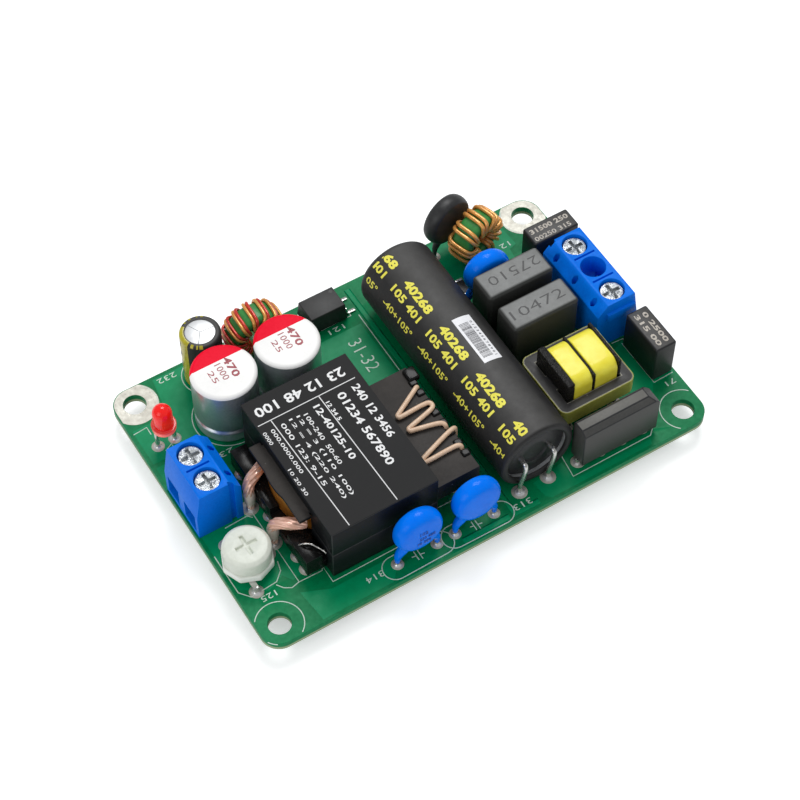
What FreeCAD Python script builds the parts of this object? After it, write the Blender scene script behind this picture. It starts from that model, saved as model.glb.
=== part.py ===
# Open frame power supply on a bare circuit board, in millimetres.
# X runs from the output end to the input end, Y across the board and Z up.
# The origin is the centre of the four mounting holes on the underside of the board.
import FreeCAD
import Part
import Sketcher
import math
import os
import re

# Driving dimensions. Heights are above the top of the board unless a name says otherwise.
sizes = {
    # Circuit board
    "board_length": 76.4,
    "board_width": 50.4,
    "board_thickness": 1.6,
    "board_corner": 3.0,
    "hole_inset": 3.2,
    "mounting_hole_radius": 1.75,
    # Leads, solder and the gaps between pieces
    "tail_length": 2.5,
    "wire_radius": 0.3,
    "pin_radius": 0.45,
    "square_room": 1.42,
    "drill_gap": 0.12,
    "solder_spread": 0.5,
    "solder_height": 0.9,
    "seat_gap": 0.1,
    "run_gap": 0.05,
    "stand_off": 0.3,
    # Screw terminal blocks
    "pole_pitch": 5.0,
    "terminal_depth": 7.4,
    "terminal_height": 10.0,
    "terminal_face_height": 5.0,
    "terminal_top_start": 0.8,
    "terminal_top_end": 5.7,
    "terminal_chamfer_drop": 2.0,
    "terminal_end_gap": 0.1,
    "terminal_step_height": 6.4,
    "terminal_step": 0.45,
    "dovetail_width": 0.9,
    "dovetail_setback": 5.9,
    "well_setback": 3.35,
    "well_radius": 2.0,
    "probe_radius": 0.55,
    "probe_setback": 6.6,
    "probe_floor": 5.2,
    "groove_width": 0.35,
    "groove_length": 3.7,
    "groove_depth": 0.6,
    "entry_width": 3.3,
    "entry_floor": 0.9,
    "entry_height": 3.8,
    "cage_length": 4.3,
    "cage_width": 3.5,
    "cage_wall": 0.4,
    "cage_nut": 0.9,
    "cage_floor": 1.0,
    "cage_height": 5.15,
    "output_terminal_setback": 0.3,
    "output_terminal_y": 1.2,
    "input_terminal_setback": 1.0,
    "input_terminal_y": 1.5,
    # Clamp screw and wire guard
    "screw_rest": 8.0,
    "screw_head_radius": 1.8,
    "screw_head_height": 1.4,
    "screw_radius": 1.25,
    "screw_length": 3.2,
    "screw_slot_width": 0.5,
    "screw_slot_length": 2.8,
    "screw_slot_depth": 0.7,
    "guard_length": 2.9,
    "guard_width": 2.4,
    "guard_thickness": 0.4,
    "guard_lip": 0.35,
    # Output voltage trimmer
    "trimmer_inset": 4.15,
    "trimmer_y": 11.3,
    "trimmer_base_radius": 4.0,
    "trimmer_base_floor": 1.2,
    "trimmer_base_height": 1.4,
    "trimmer_knob_radius": 3.6,
    "trimmer_knob_height": 2.9,
    "trimmer_knob_edge": 0.5,
    "trimmer_cross_length": 3.4,
    "trimmer_cross_width": 0.55,
    "trimmer_cross_depth": 0.45,
    "trimmer_stem_radius": 0.9,
    "trimmer_rivet_radius": 1.3,
    "trimmer_rivet_height": 0.3,
    "trimmer_tab_setback": 1.2,
    "trimmer_tab_spread": 4.5,
    "trimmer_tab_start": 3.0,
    "trimmer_tab_thickness": 0.4,
    "trimmer_wiper_setback": 3.3,
    # Indicator lamp
    "led_inset": 4.1,
    "led_y": 13.5,
    "led_floor": 4.0,
    "led_flange_radius": 1.9,
    "led_flange_height": 1.0,
    "led_radius": 1.5,
    "led_barrel_height": 3.7,
    "led_lead_spread": 1.4,
    "led_lead_radius": 0.35,
    # Solid polymer output capacitors
    "output_capacitor_inset": 14.3,
    "output_capacitor_pitch": 10.7,
    "output_capacitor_y": 12.9,
    "output_capacitor_radius": 5.0,
    "output_capacitor_height": 11.6,
    "output_capacitor_edge": 0.6,
    "bead_height": 2.3,
    "bead_depth": 0.4,
    "bead_width": 0.5,
    "radial_lead_spread": 2.5,
    # Small output electrolytic
    "filter_capacitor_gap": 0.35,
    "filter_capacitor_shift": 0.7,
    "filter_capacitor_radius": 3.15,
    "filter_capacitor_height": 11.0,
    "filter_lead_spread": 1.25,
    "sleeve_wall": 0.15,
    "sleeve_rim": 0.45,
    # Bulk capacitor lying along the board
    "bulk_gap": 3.0,
    "bulk_radius": 6.25,
    "bulk_length": 40.4,
    "bulk_y": -0.6,
    "bulk_rest": 0.12,
    "bulk_edge": 1.3,
    "bulk_seal_depth": 0.7,
    "bulk_seal_height": 3.0,
    "bulk_seal_wall": 0.7,
    "bulk_rim": 1.1,
    "bulk_lead_radius": 0.4,
    "bulk_lead_reach": 1.3,
    "bulk_lead_bend": 0.7,
    "bulk_lead_drop": 0.8,
    "bulk_lead_foot": 1.2,
    "bulk_lead_shift": 0.8,
    # Transformer
    "transformer_x": -15.9,
    "transformer_y": -6.65,
    "core_length": 25.9,
    "core_width": 17.6,
    "core_height": 11.2,
    "core_plate": 2.2,
    "core_window_radius": 11.2,
    "core_leg_radius": 4.4,
    "label_thickness": 0.1,
    "bobbin_wall": 0.6,
    "bobbin_flange": 0.65,
    "winding_gap": 0.6,
    "flange_tab_width": 14.7,
    "flange_tab_reach": 1.9,
    "output_rail_reach": 3.3,
    "output_rail_length": 22.3,
    "output_rail_height": 1.9,
    "output_rail_shift": 0.25,
    "pin_block_width": 2.6,
    "pin_block_height": 1.6,
    "far_block_length": 4.8,
    "middle_block_length": 5.4,
    "middle_block_shift": 2.1,
    "near_block_length": 5.5,
    "deck_width": 7.0,
    "deck_length": 20.3,
    "deck_shift": 2.6,
    "deck_thickness": 3.4,
    "deck_foot_width": 2.2,
    "deck_foot_length": 2.0,
    "deck_notch": 0.9,
    "deck_pin_pitch": 4.1,
    "deck_pin_inset": 1.2,
    "litz_radius": 0.95,
    "litz_tail_radius": 0.5,
    "far_litz_reach": 1.4,
    "far_litz_start": 5.15,
    "far_litz_shoulder": 4.2,
    "far_litz_foot": 3.6,
    "near_litz_reach": 1.0,
    "near_litz_start": -6.1,
    "near_litz_shoulder": -4.6,
    "near_litz_foot": -3.3,
    "tan_wire_radius": 0.42,
    "tan_wire_drop": 2.0,
    "tan_bend_setback": 5.0,
    "tan_loop_setback": 5.8,
    "tan_loop_width": 1.0,
    "tan_wire_side_step": 0.8,
    "shield_wire_radius": 0.16,
    "shield_wire_inset": 1.4,
    # Common mode choke with a closed frame core
    "choke_gap": 0.4,
    "choke_y": -11.7,
    "choke_length": 12.85,
    "choke_width": 11.7,
    "choke_frame": 1.6,
    "choke_leg_width": 3.0,
    "choke_core_floor": 4.5,
    "choke_core_thickness": 3.0,
    "choke_corner": 1.2,
    "choke_tape_thickness": 0.08,
    "choke_bobbin_wall": 0.5,
    "choke_flange": 0.5,
    "choke_divider": 0.4,
    "choke_first_flange": 1.2,
    "choke_coil_width": 8.2,
    "choke_coil_height": 10.2,
    "choke_coil_edge": 1.8,
    "choke_pin_spread_x": 4.4,
    "choke_pin_spread_y": 3.7,
    # Ring cores
    "input_ring_x": 24.1,
    "input_ring_y": 19.2,
    "input_ring_height": 5.2,
    "input_ring_turn": 18,
    "input_ring_radius": 4.0,
    "input_ring_bore": 2.1,
    "input_ring_thickness": 3.6,
    "input_ring_wire": 0.28,
    "output_ring_x": -14.4,
    "output_ring_y": 21.4,
    "output_ring_height": 5.3,
    "output_ring_turn": 0,
    "output_ring_radius": 4.3,
    "output_ring_bore": 2.3,
    "output_ring_thickness": 3.8,
    "output_ring_wire": 0.23,
    "winding_lift": 0.04,
    "ring_tail_reach": 0.95,
    # Suppression capacitors across the line
    "box_capacitor_gap": 1.1,
    "box_capacitor_length": 11.6,
    "box_capacitor_width": 5.25,
    "box_capacitor_height": 10.8,
    "box_capacitor_edge": 0.45,
    "box_capacitor_first_y": 6.25,
    "box_capacitor_pitch": 6.85,
    "box_lead_spread": 5.0,
    # Fuses
    "fuse_length": 8.1,
    "fuse_width": 3.7,
    "fuse_height": 7.4,
    "fuse_edge": 0.2,
    "fuse_lead_spread": 2.54,
    "first_fuse_inset": 4.35,
    "first_fuse_y": 12.85,
    "second_fuse_inset": 2.35,
    "second_fuse_y": -11.35,
    # Ceramic disc capacitors and thermistor
    "disc_radius": 3.9,
    "disc_thickness": 3.2,
    "disc_edge": 1.2,
    "disc_height": 7.0,
    "disc_leg_radius": 0.55,
    "first_disc_x": -12.4,
    "second_disc_x": -2.6,
    "front_disc_y": -22.5,
    "third_disc_x": 21.0,
    "third_disc_y": 11.3,
    "thermistor_x": 21.0,
    "thermistor_y": 22.9,
    "thermistor_height": 7.3,
    "thermistor_turn": 14,
    "thermistor_radius": 4.3,
    "thermistor_thickness": 2.8,
    "thermistor_lead_spread": 2.5,
    # Bridge rectifier
    "bridge_x": 22.6,
    "bridge_y": -21.5,
    "bridge_length": 13.4,
    "bridge_thickness": 3.0,
    "bridge_floor": 0.9,
    "bridge_height": 8.2,
    "bridge_chamfer": 0.9,
    "bridge_corner": 1.6,
    "bridge_lead_pitch": 3.8,
    "bridge_lead_shift": 0.7,
    # Optocoupler
    "coupler_x": -2.6,
    "coupler_y": 21.25,
    "coupler_length": 6.5,
    "coupler_width": 4.6,
    "coupler_height": 3.4,
    "coupler_draft": 0.25,
    "gull_pitch": 2.54,
    "gull_width": 0.6,
    "gull_thickness": 0.25,
    "gull_rise": 1.6,
    "gull_span": 5.1,
    # Parts on the underside, measured down from it
    "chip_length": 2.0,
    "chip_width": 1.25,
    "chip_height": 0.6,
    "chip_end": 0.4,
    "small_ic_length": 4.9,
    "small_ic_width": 3.9,
    "small_ic_height": 1.5,
    "small_ic_pitch": 1.27,
    "small_ic_lead_width": 0.42,
    "small_ic_lead_reach": 1.05,
    "power_case_length": 6.1,
    "power_case_width": 6.5,
    "power_case_height": 2.2,
    "power_lead_spread": 2.28,
    "power_lead_reach": 2.2,
    "power_tab_length": 1.1,
    "power_tab_width": 5.3,
    "power_tab_thickness": 0.5,
    # One larger chip resistor on the upper side
    "bleeder_x": 18.9,
    "bleeder_y": 14.6,
    "bleeder_length": 3.2,
    "bleeder_width": 1.6,
}

doc = FreeCAD.newDocument("OpenFramePowerSupply")
sheet = doc.addObject("Spreadsheet::Sheet", "Sizes")
for row, (alias, number) in enumerate(sizes.items(), start=1):
    sheet.set("A%d" % row, alias)
    sheet.set("B%d" % row, str(number))
    sheet.setAlias("B%d" % row, alias)
doc.recompute()

nodes = []
lead_places = []


# Expressions name the sheet's cells by their aliases alone, and these two put the sheet's name before them.
def cells(expression):
    def named(word):
        return "Sizes." + word.group() if word.group() in sizes else word.group()

    return re.sub(r"[a-z][a-z_]*", named, str(expression))


def value(expression):
    return float(sheet.evalExpression(cells(expression)))


def bind(thing, **expressions):
    for name, expression in expressions.items():
        thing.setExpression(name, cells(expression))


def move(thing, x=0, y=0, z=0, turn=0):
    thing.setExpression("Placement.Base.x", cells(x))
    thing.setExpression("Placement.Base.y", cells(y))
    thing.setExpression("Placement.Base.z", cells(z))
    thing.setExpression("Placement.Rotation.Angle", cells(turn))
    return thing


def keep(thing, label):
    thing.Label = label
    nodes.append(thing)
    return thing


# Part primitives, centred on x and y and standing on z.
def box(x, y, z, length, width, height):
    made = doc.addObject("Part::Box", "Block")
    bind(made, Length=length, Width=width, Height=height)
    return move(made, f"{x} - ({length}) / 2", f"{y} - ({width}) / 2", z)


def cylinder(x, y, z, radius, height):
    made = doc.addObject("Part::Cylinder", "Round")
    bind(made, Radius=radius, Height=height)
    return move(made, x, y, z)


def prism(x, y, z, radius, height, sides=6, turn=0):
    made = doc.addObject("Part::Prism", "Prism")
    made.Polygon = sides
    bind(made, Circumradius=radius, Height=height)
    return move(made, x, y, z, turn)


def group(*pieces):
    made = doc.addObject("Part::Compound", "Group")
    made.Links = list(pieces)
    return made


def fuse(*pieces):
    made = doc.addObject("Part::MultiFuse", "Joined")
    made.Shapes = list(pieces)
    return made


def cut(base, *tools):
    made = doc.addObject("Part::Cut", "Trimmed")
    made.Base = base
    made.Tool = tools[0] if len(tools) == 1 else group(*tools)
    return made


# Bodies built from sketches. A sketch on XZ draws X and Z, and one on YZ draws Y and Z.
def body(x=0, y=0, z=0, turn=0):
    return move(doc.addObject("PartDesign::Body", "Body"), x, y, z, turn)


def sketch(owner, plane="XY", offset=0):
    made = owner.newObject("Sketcher::SketchObject", "Sketch")
    role = plane + "_Plane"
    made.AttachmentSupport = ([part for part in owner.Origin.OriginFeatures if part.Role == role][0], [""])
    made.MapMode = "FlatFace"
    made.setExpression("AttachmentOffset.Base.z", cells(offset))
    return made


def fix_point(drawing, shape, point, x, y):
    for kind, expression in (("DistanceX", x), ("DistanceY", y)):
        number = drawing.addConstraint(Sketcher.Constraint(kind, -1, 1, shape, point, value(expression)))
        drawing.setExpression("Constraints[%d]" % number, cells(expression))


def polygon(drawing, *corners):
    spots = [FreeCAD.Vector(value(x), value(y), 0) for x, y in corners]
    count = len(spots)
    first = drawing.GeometryCount
    for index in range(count):
        drawing.addGeometry(Part.LineSegment(spots[index], spots[(index + 1) % count]))
    for index in range(count):
        following = first + (index + 1) % count
        drawing.addConstraint(Sketcher.Constraint("Coincident", first + index, 2, following, 1))
    for index, (x, y) in enumerate(corners):
        fix_point(drawing, first + index, 1, x, y)
    return drawing


def rectangle(drawing, x, y, length, width):
    left, right = f"{x} - ({length}) / 2", f"{x} + ({length}) / 2"
    near, far = f"{y} - ({width}) / 2", f"{y} + ({width}) / 2"
    return polygon(drawing, (left, near), (right, near), (right, far), (left, far))


def hexagon(drawing, x, y, radius):
    corners = [(f"{x} + ({radius}) * cos({turn})", f"{y} + ({radius}) * sin({turn})") for turn in range(0, 360, 60)]
    return polygon(drawing, *corners)


def circle(drawing, x, y, radius):
    centre = FreeCAD.Vector(value(x), value(y), 0)
    shape = drawing.addGeometry(Part.Circle(centre, FreeCAD.Vector(0, 0, 1), value(radius)))
    fix_point(drawing, shape, 3, x, y)
    number = drawing.addConstraint(Sketcher.Constraint("Radius", shape, value(radius)))
    drawing.setExpression("Constraints[%d]" % number, cells(radius))
    return drawing


def pad(owner, drawing, length, centred=False, back=False):
    made = owner.newObject("PartDesign::Pad", "Pad")
    made.Profile = drawing
    made.Midplane = centred
    made.Reversed = back
    bind(made, Length=length)
    return made


def pocket(owner, drawing, depth, centred=False, back=False):
    made = owner.newObject("PartDesign::Pocket", "Pocket")
    made.Profile = drawing
    made.Midplane = centred
    made.Reversed = back
    bind(made, Length=depth)
    return made


def revolve(owner, drawing):
    made = owner.newObject("PartDesign::Revolution", "Revolution")
    made.Profile = drawing
    made.ReferenceAxis = (drawing, ["V_Axis"])
    return made


def dress(owner, kind, size, chosen, name="Radius"):
    doc.recompute()
    base = owner.Tip
    made = owner.newObject("PartDesign::" + kind, kind)
    edges = ["Edge%d" % number for number, edge in enumerate(base.Shape.Edges, start=1) if chosen(edge)]
    made.Base = (base, edges)
    bind(made, **{name: size})
    return made


def fillet(owner, radius, chosen):
    return dress(owner, "Fillet", radius, chosen)


def chamfer(owner, size, chosen):
    return dress(owner, "Chamfer", size, chosen, "Size")


def near(first, second):
    return abs(first - second) < 1e-4


def upright(edge):
    box_of_edge = edge.BoundBox
    return near(box_of_edge.XLength, 0) and near(box_of_edge.YLength, 0)


def level(height):
    return lambda edge: near(edge.BoundBox.ZMin, value(height)) and near(edge.BoundBox.ZMax, value(height))


# A bent wire or strip: its section is carried along straight runs and mitred at each bend.
def bent_solid(points, section):
    spots = [FreeCAD.Vector(*point) for point in points]
    runs = [(after - before).normalize() for before, after in zip(spots, spots[1:])]
    side = runs[0].cross(FreeCAD.Vector(0, 0, 1))
    if side.Length < 1e-6:
        side = FreeCAD.Vector(1, 0, 0)
    side.normalize()
    rise = side.cross(runs[0])
    rings = [[spots[0] + side * across + rise * up for across, up in section]]
    for index, run in enumerate(runs):
        following = runs[index + 1] if index + 1 < len(runs) else run
        mitre = (run + following).normalize()
        spot = spots[index + 1]
        rings.append([corner + run * ((spot - corner).dot(mitre) / run.dot(mitre)) for corner in rings[-1]])
    faces = [Part.Face(Part.makePolygon(ring + ring[:1])) for ring in (rings[0], rings[-1])]
    for ring, following in zip(rings, rings[1:]):
        for index in range(len(ring)):
            after = (index + 1) % len(ring)
            corners = [ring[index], ring[after], following[after], following[index], ring[index]]
            faces.append(Part.Face(Part.makePolygon(corners)))
    solid = Part.Solid(Part.Shell(faces))
    if solid.Volume < 0:
        solid.reverse()
    return solid


def round_section(radius, sides=6):
    step = 2 * math.pi / sides
    return [(radius * math.cos(step * index), radius * math.sin(step * index)) for index in range(sides)]


def flat_section(width, thickness):
    return [(-width / 2, -thickness / 2), (width / 2, -thickness / 2), (width / 2, thickness / 2),
            (-width / 2, thickness / 2)]


def solids(name, shapes):
    made = doc.addObject("Part::Feature", name)
    made.Shape = shapes[0] if len(shapes) == 1 else Part.makeCompound(shapes)
    return made


# Leads that pass straight through the board, and the record of where they do.
def through(x, y, radius):
    lead_places.append((x, y, radius))


def lead(x, y, top, radius="wire_radius"):
    through(x, y, radius)
    return prism(x, y, "-tail_length", radius, f"tail_length + {top}", 4, 45)


def pin(x, y, top):
    return lead(x, y, top, "pin_radius")


top = "board_thickness"
left_edge = "(-board_length / 2)"
right_edge = "(board_length / 2)"


# Screw terminal blocks. Each is drawn with its wire face at x = 0 and its poles along y.
def terminal_housing(poles):
    owner = body()
    profile = sketch(owner, "XZ")
    polygon(profile, (0, 0), (0, "terminal_face_height"), ("terminal_top_start", "terminal_height"),
            ("terminal_top_end", "terminal_height"),
            ("terminal_depth", "terminal_height - terminal_chamfer_drop"), ("terminal_depth", 0))
    pad(owner, profile, f"{poles} * pole_pitch - terminal_end_gap", centred=True)
    end = f"({poles} * pole_pitch - terminal_end_gap) / 2"
    step_height = "terminal_height - terminal_step_height"
    # The upper part reaches over the end where the next block would lock on.
    shelf = sketch(owner, "XY", "terminal_height - terminal_chamfer_drop")
    shelf_length = "terminal_top_end - terminal_top_start"
    shelf_middle = "(terminal_top_end + terminal_top_start) / 2"
    rectangle(shelf, shelf_middle, f"{end} + terminal_step / 2", shelf_length, "terminal_step")
    pad(owner, shelf, f"{step_height} - terminal_chamfer_drop", back=True)
    dovetail = sketch(owner)
    rectangle(dovetail, "dovetail_setback", f"-{end}", "dovetail_width", "2 * terminal_step")
    pocket(owner, dovetail, "terminal_height", back=True)
    for pole in range(poles):
        middle = f"({pole} - ({poles} - 1) / 2) * pole_pitch"
        well = sketch(owner, "XY", "terminal_height")
        circle(well, "well_setback", middle, "well_radius")
        pocket(owner, well, "terminal_height - cage_floor - cage_height - seat_gap")
        probe = sketch(owner, "XY", "terminal_height")
        hexagon(probe, "probe_setback", middle, "probe_radius")
        pocket(owner, probe, "terminal_height - probe_floor")
        cavity = sketch(owner)
        rectangle(cavity, "well_setback", middle, "cage_length + 2 * seat_gap", "cage_width + 2 * seat_gap")
        pocket(owner, cavity, "cage_floor + cage_height + seat_gap", back=True)
        entry = sketch(owner, "YZ")
        rectangle(entry, middle, "entry_floor + entry_height / 2", "entry_width", "entry_height")
        pocket(owner, entry, "well_setback", back=True)
    for gap in range(poles - 1):
        groove = sketch(owner, "XY", "terminal_height")
        rectangle(groove, shelf_middle, f"({gap} + 1 - {poles} / 2) * pole_pitch", "groove_length",
                  "groove_width")
        pocket(owner, groove, "groove_depth")
    return owner


def terminal_contact(x, y):
    outer = box(x, y, f"{top} + cage_floor", "cage_length", "cage_width", "cage_height")
    inner = box(x, y, f"{top} + cage_floor + cage_wall", "cage_length + 2 * seat_gap",
                "cage_width - 2 * cage_wall", "cage_height - cage_wall - cage_nut")
    thread = cylinder(x, y, f"{top} + cage_floor", "screw_radius + run_gap", "cage_height + seat_gap")
    floor = box(x, y, f"{top} + cage_floor", "cage_length", "cage_width", "cage_wall")
    frame = cut(outer, inner, cut(thread, floor))
    return fuse(frame, pin(x, y, f"{top} + cage_floor"))


def clamp_screw(x, y):
    owner = body(x, y, f"{top} + screw_rest")
    profile = sketch(owner, "XZ")
    polygon(profile, (0, "screw_head_height"), ("screw_head_radius", "screw_head_height"),
            ("screw_head_radius", 0), ("screw_radius", 0), ("screw_radius", "-screw_length"),
            (0, "-screw_length"))
    revolve(owner, profile)
    cross = sketch(owner, "XY", "screw_head_height")
    arm, half = "screw_slot_length / 2", "screw_slot_width / 2"
    plus = [(arm, half), (half, half), (half, arm)]
    corners = []
    for across, along in ((1, 1), (-1, 1), (-1, -1), (1, -1)):
        quarter = [(f"{across} * {x_size}", f"{along} * {y_size}") for x_size, y_size in plus]
        corners += quarter if across == along else quarter[::-1]
    polygon(cross, *corners)
    pocket(owner, cross, "screw_slot_depth")
    return owner


def wire_guard(x, y):
    owner = body(x, y, f"{top} + screw_rest - screw_length - run_gap - guard_thickness")
    plate = sketch(owner)
    rectangle(plate, 0, 0, "guard_length", "guard_width")
    pad(owner, plate, "guard_thickness")
    for side in (-1, 1):
        lip = sketch(owner)
        rectangle(lip, f"{side} * (guard_length - guard_lip) / 2", 0, "guard_lip", "guard_width")
        pad(owner, lip, "guard_lip", back=True)
    return owner


# The last entry tells which poles hold a screw: the middle one at the input is left empty.
terminals = (
    ("output", f"({left_edge} + output_terminal_setback)", "output_terminal_y", 1, (True, True)),
    ("input", f"({right_edge} - input_terminal_setback)", "input_terminal_y", -1, (True, False, True)),
)
for name, face, middle, facing, wired in terminals:
    poles = len(wired)
    housing = terminal_housing(poles)
    move(housing, face, middle, top, 0 if facing == 1 else 180)
    keep(housing, name + "_terminal_housing")
    screw_x = f"{face} + {facing} * well_setback"
    pole_places = [f"{middle} + ({pole} - ({poles} - 1) / 2) * pole_pitch"
                   for pole, holds_screw in enumerate(wired) if holds_screw]
    keep(group(*[terminal_contact(screw_x, place) for place in pole_places]), name + "_terminal_contacts")
    for number, place in enumerate(pole_places, start=1):
        keep(clamp_screw(screw_x, place), f"{name}_terminal_screw_{number}")
        keep(wire_guard(screw_x, place), f"{name}_wire_guard_{number}")

# Trimmer: a flat base on three tabs, and a knob whose stem is riveted under the base.
trimmer_x = f"({left_edge} + trimmer_inset)"
trimmer_y = "(-trimmer_y)"
trimmer_floor = f"{top} + trimmer_base_floor"
keep(cut(prism(trimmer_x, trimmer_y, trimmer_floor, "trimmer_base_radius", "trimmer_base_height", 8),
         cylinder(trimmer_x, trimmer_y, trimmer_floor, "trimmer_stem_radius + run_gap", "trimmer_base_height")),
     "trimmer_base")

rotor = body(trimmer_x, trimmer_y, f"{trimmer_floor} + trimmer_base_height + seat_gap")
rotor_profile = sketch(rotor, "XZ")
stem_end = "-trimmer_base_height - 2 * seat_gap"
polygon(rotor_profile, (0, "trimmer_knob_height"), ("trimmer_knob_radius", "trimmer_knob_height"),
        ("trimmer_knob_radius", 0), ("trimmer_stem_radius", 0), ("trimmer_stem_radius", stem_end),
        ("trimmer_rivet_radius", stem_end), ("trimmer_rivet_radius", f"{stem_end} - trimmer_rivet_height"),
        (0, f"{stem_end} - trimmer_rivet_height"))
revolve(rotor, rotor_profile)
chamfer(rotor, "trimmer_knob_edge", level("trimmer_knob_height"))
for length, width in (("trimmer_cross_length", "trimmer_cross_width"),
                      ("trimmer_cross_width", "trimmer_cross_length")):
    slot = sketch(rotor, "XY", "trimmer_knob_height")
    rectangle(slot, 0, 0, length, width)
    pocket(rotor, slot, "trimmer_cross_depth")
keep(rotor, "trimmer_rotor")

trimmer_tab_floor = f"{trimmer_floor} - trimmer_tab_thickness"
trimmer_tabs = [pin(f"{trimmer_x} - trimmer_tab_setback", f"{trimmer_y} + {side} * trimmer_tab_spread",
                    trimmer_tab_floor) for side in (-1, 1)]
wiper_pin = pin(f"{trimmer_x} + trimmer_wiper_setback", trimmer_y, trimmer_floor)
feet = [box(f"{trimmer_x} - trimmer_tab_setback",
            f"{trimmer_y} + {side} * (trimmer_tab_spread + trimmer_tab_start) / 2", trimmer_tab_floor,
            "2 * pin_radius", "trimmer_tab_spread - trimmer_tab_start + pin_radius", "trimmer_tab_thickness")
        for side in (-1, 1)]
side_tabs = [fuse(tab, foot) for tab, foot in zip(trimmer_tabs, feet)]
keep(group(*side_tabs, wiper_pin), "trimmer_terminals")

# Indicator lamp standing on its leads.
led_x = f"({left_edge} + led_inset)"
led_floor = f"{top} + led_floor"
lamp = body(led_x, "led_y", led_floor)
lamp_profile = sketch(lamp, "XZ")
dome = [(f"led_radius * cos({angle})", f"led_barrel_height + led_radius * sin({angle})")
        for angle in (0, 35, 65)]
polygon(lamp_profile, (0, 0), ("led_flange_radius", 0), ("led_flange_radius", "led_flange_height"),
        ("led_radius", "led_flange_height"), *dome, (0, "led_barrel_height + led_radius"))
revolve(lamp, lamp_profile)
keep(lamp, "status_led")
keep(group(*[lead(f"{led_x} + {side} * led_lead_spread", "led_y", led_floor, "led_lead_radius")
             for side in (-1, 1)]), "status_led_leads")


# Cans of the radial capacitors, drawn as turned profiles standing on z = 0.
def beaded_can(x, y):
    owner = body(x, y, f"{top} + stand_off")
    profile = sketch(owner, "XZ")
    height = "output_capacitor_height - stand_off"
    wide, groove = "output_capacitor_radius", "output_capacitor_radius - bead_depth"
    polygon(profile, (0, 0), (wide, 0), (wide, "bead_height - bead_width"), (groove, "bead_height"),
            (wide, "bead_height + bead_width"), (wide, f"{height} - output_capacitor_edge"),
            (f"{wide} - output_capacitor_edge", height), (0, height))
    revolve(owner, profile)
    return owner


radial_leads = []
for number in range(2):
    can_x = f"({left_edge} + output_capacitor_inset + {number} * output_capacitor_pitch)"
    keep(beaded_can(can_x, "output_capacitor_y"), f"output_capacitor_{number + 1}")
    radial_leads += [lead(can_x, f"output_capacitor_y + {side} * radial_lead_spread", f"{top} + stand_off")
                     for side in (-1, 1)]

# Small electrolytic behind the first output capacitor.
filter_x = f"({left_edge} + output_capacitor_inset + filter_capacitor_shift)"
filter_y = "(output_capacitor_y + output_capacitor_radius + filter_capacitor_gap + filter_capacitor_radius)"
filter_floor = f"{top} + stand_off"
filter_height = "(filter_capacitor_height - stand_off)"
filter_can_radius = "filter_capacitor_radius - sleeve_wall"
filter_can = body(filter_x, filter_y, filter_floor)
filter_outline = sketch(filter_can)
circle(filter_outline, 0, 0, filter_can_radius)
pad(filter_can, filter_outline, f"{filter_height} - sleeve_wall")
keep(filter_can, "filter_capacitor_can")
filter_sleeve = body(filter_x, filter_y, filter_floor)
sleeve_profile = sketch(filter_sleeve, "XZ")
sleeve_mouth = "filter_capacitor_radius - sleeve_wall - sleeve_rim"
rim_floor = f"{filter_height} - sleeve_wall"
polygon(sleeve_profile, (filter_can_radius, 0), ("filter_capacitor_radius", 0),
        ("filter_capacitor_radius", filter_height), (sleeve_mouth, filter_height),
        (sleeve_mouth, rim_floor), (filter_can_radius, rim_floor))
revolve(filter_sleeve, sleeve_profile)
keep(filter_sleeve, "filter_capacitor_sleeve")
radial_leads += [lead(f"{filter_x} + {side} * filter_lead_spread", filter_y, filter_floor)
                 for side in (-1, 1)]
keep(group(*radial_leads), "radial_capacitor_leads")

# Transformer. The core halves meet at mid height round the bobbin's barrel.
core_floor = f"{top} + stand_off"
core_middle = f"{core_floor} + core_height / 2"


def core_half(z, leg_z):
    block = box("transformer_x", "transformer_y", z, "core_width", "core_length", "core_height / 2")
    window = cylinder("transformer_x", "transformer_y", leg_z, "core_window_radius",
                      "core_height / 2 - core_plate")
    leg = cylinder("transformer_x", "transformer_y", leg_z, "core_leg_radius", "core_height / 2 - core_plate")
    return cut(block, cut(window, leg))


keep(core_half(core_floor, f"{core_floor} + core_plate"), "transformer_core_lower")
keep(core_half(core_middle, core_middle), "transformer_core_upper")
keep(box("transformer_x", "transformer_y", f"{core_floor} + core_height", "core_width", "core_length",
         "label_thickness"), "transformer_label")

window_floor = f"({core_floor} + core_plate + seat_gap)"
window_height = "(core_height - 2 * core_plate - 2 * seat_gap)"
window_top = f"({window_floor} + {window_height})"
barrel_radius = "(core_leg_radius + seat_gap + bobbin_wall)"
flange_radius = "core_window_radius - seat_gap"
output_side = "(transformer_x - core_width / 2)"
input_side = "(transformer_x + core_width / 2)"
flange_discs = [cylinder("transformer_x", "transformer_y", z, flange_radius, "bobbin_flange")
                for z in (window_floor, f"{window_top} - bobbin_flange")]
barrel = cylinder("transformer_x", "transformer_y", window_floor, barrel_radius, window_height)
upper_tab = box(f"{output_side} - seat_gap - flange_tab_reach / 2", "transformer_y",
                f"{window_top} - bobbin_flange", "flange_tab_reach", "flange_tab_width", "bobbin_flange")
rail_x = f"({output_side} - seat_gap - output_rail_reach / 2)"
rail_y = "(transformer_y - output_rail_shift)"
rail_floor = f"{window_floor} + bobbin_flange - output_rail_height"
rail = box(rail_x, rail_y, rail_floor, "output_rail_reach", "output_rail_length", "output_rail_height")
lower_neck = box(f"{output_side} - seat_gap", "transformer_y", window_floor, "2 * output_rail_reach",
                 "flange_tab_width / 2", "bobbin_flange")
block_places = (("(output_rail_length - far_block_length) / 2", "far_block_length"),
                ("middle_block_shift", "middle_block_length"),
                ("(near_block_length - output_rail_length) / 2", "near_block_length"))
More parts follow.
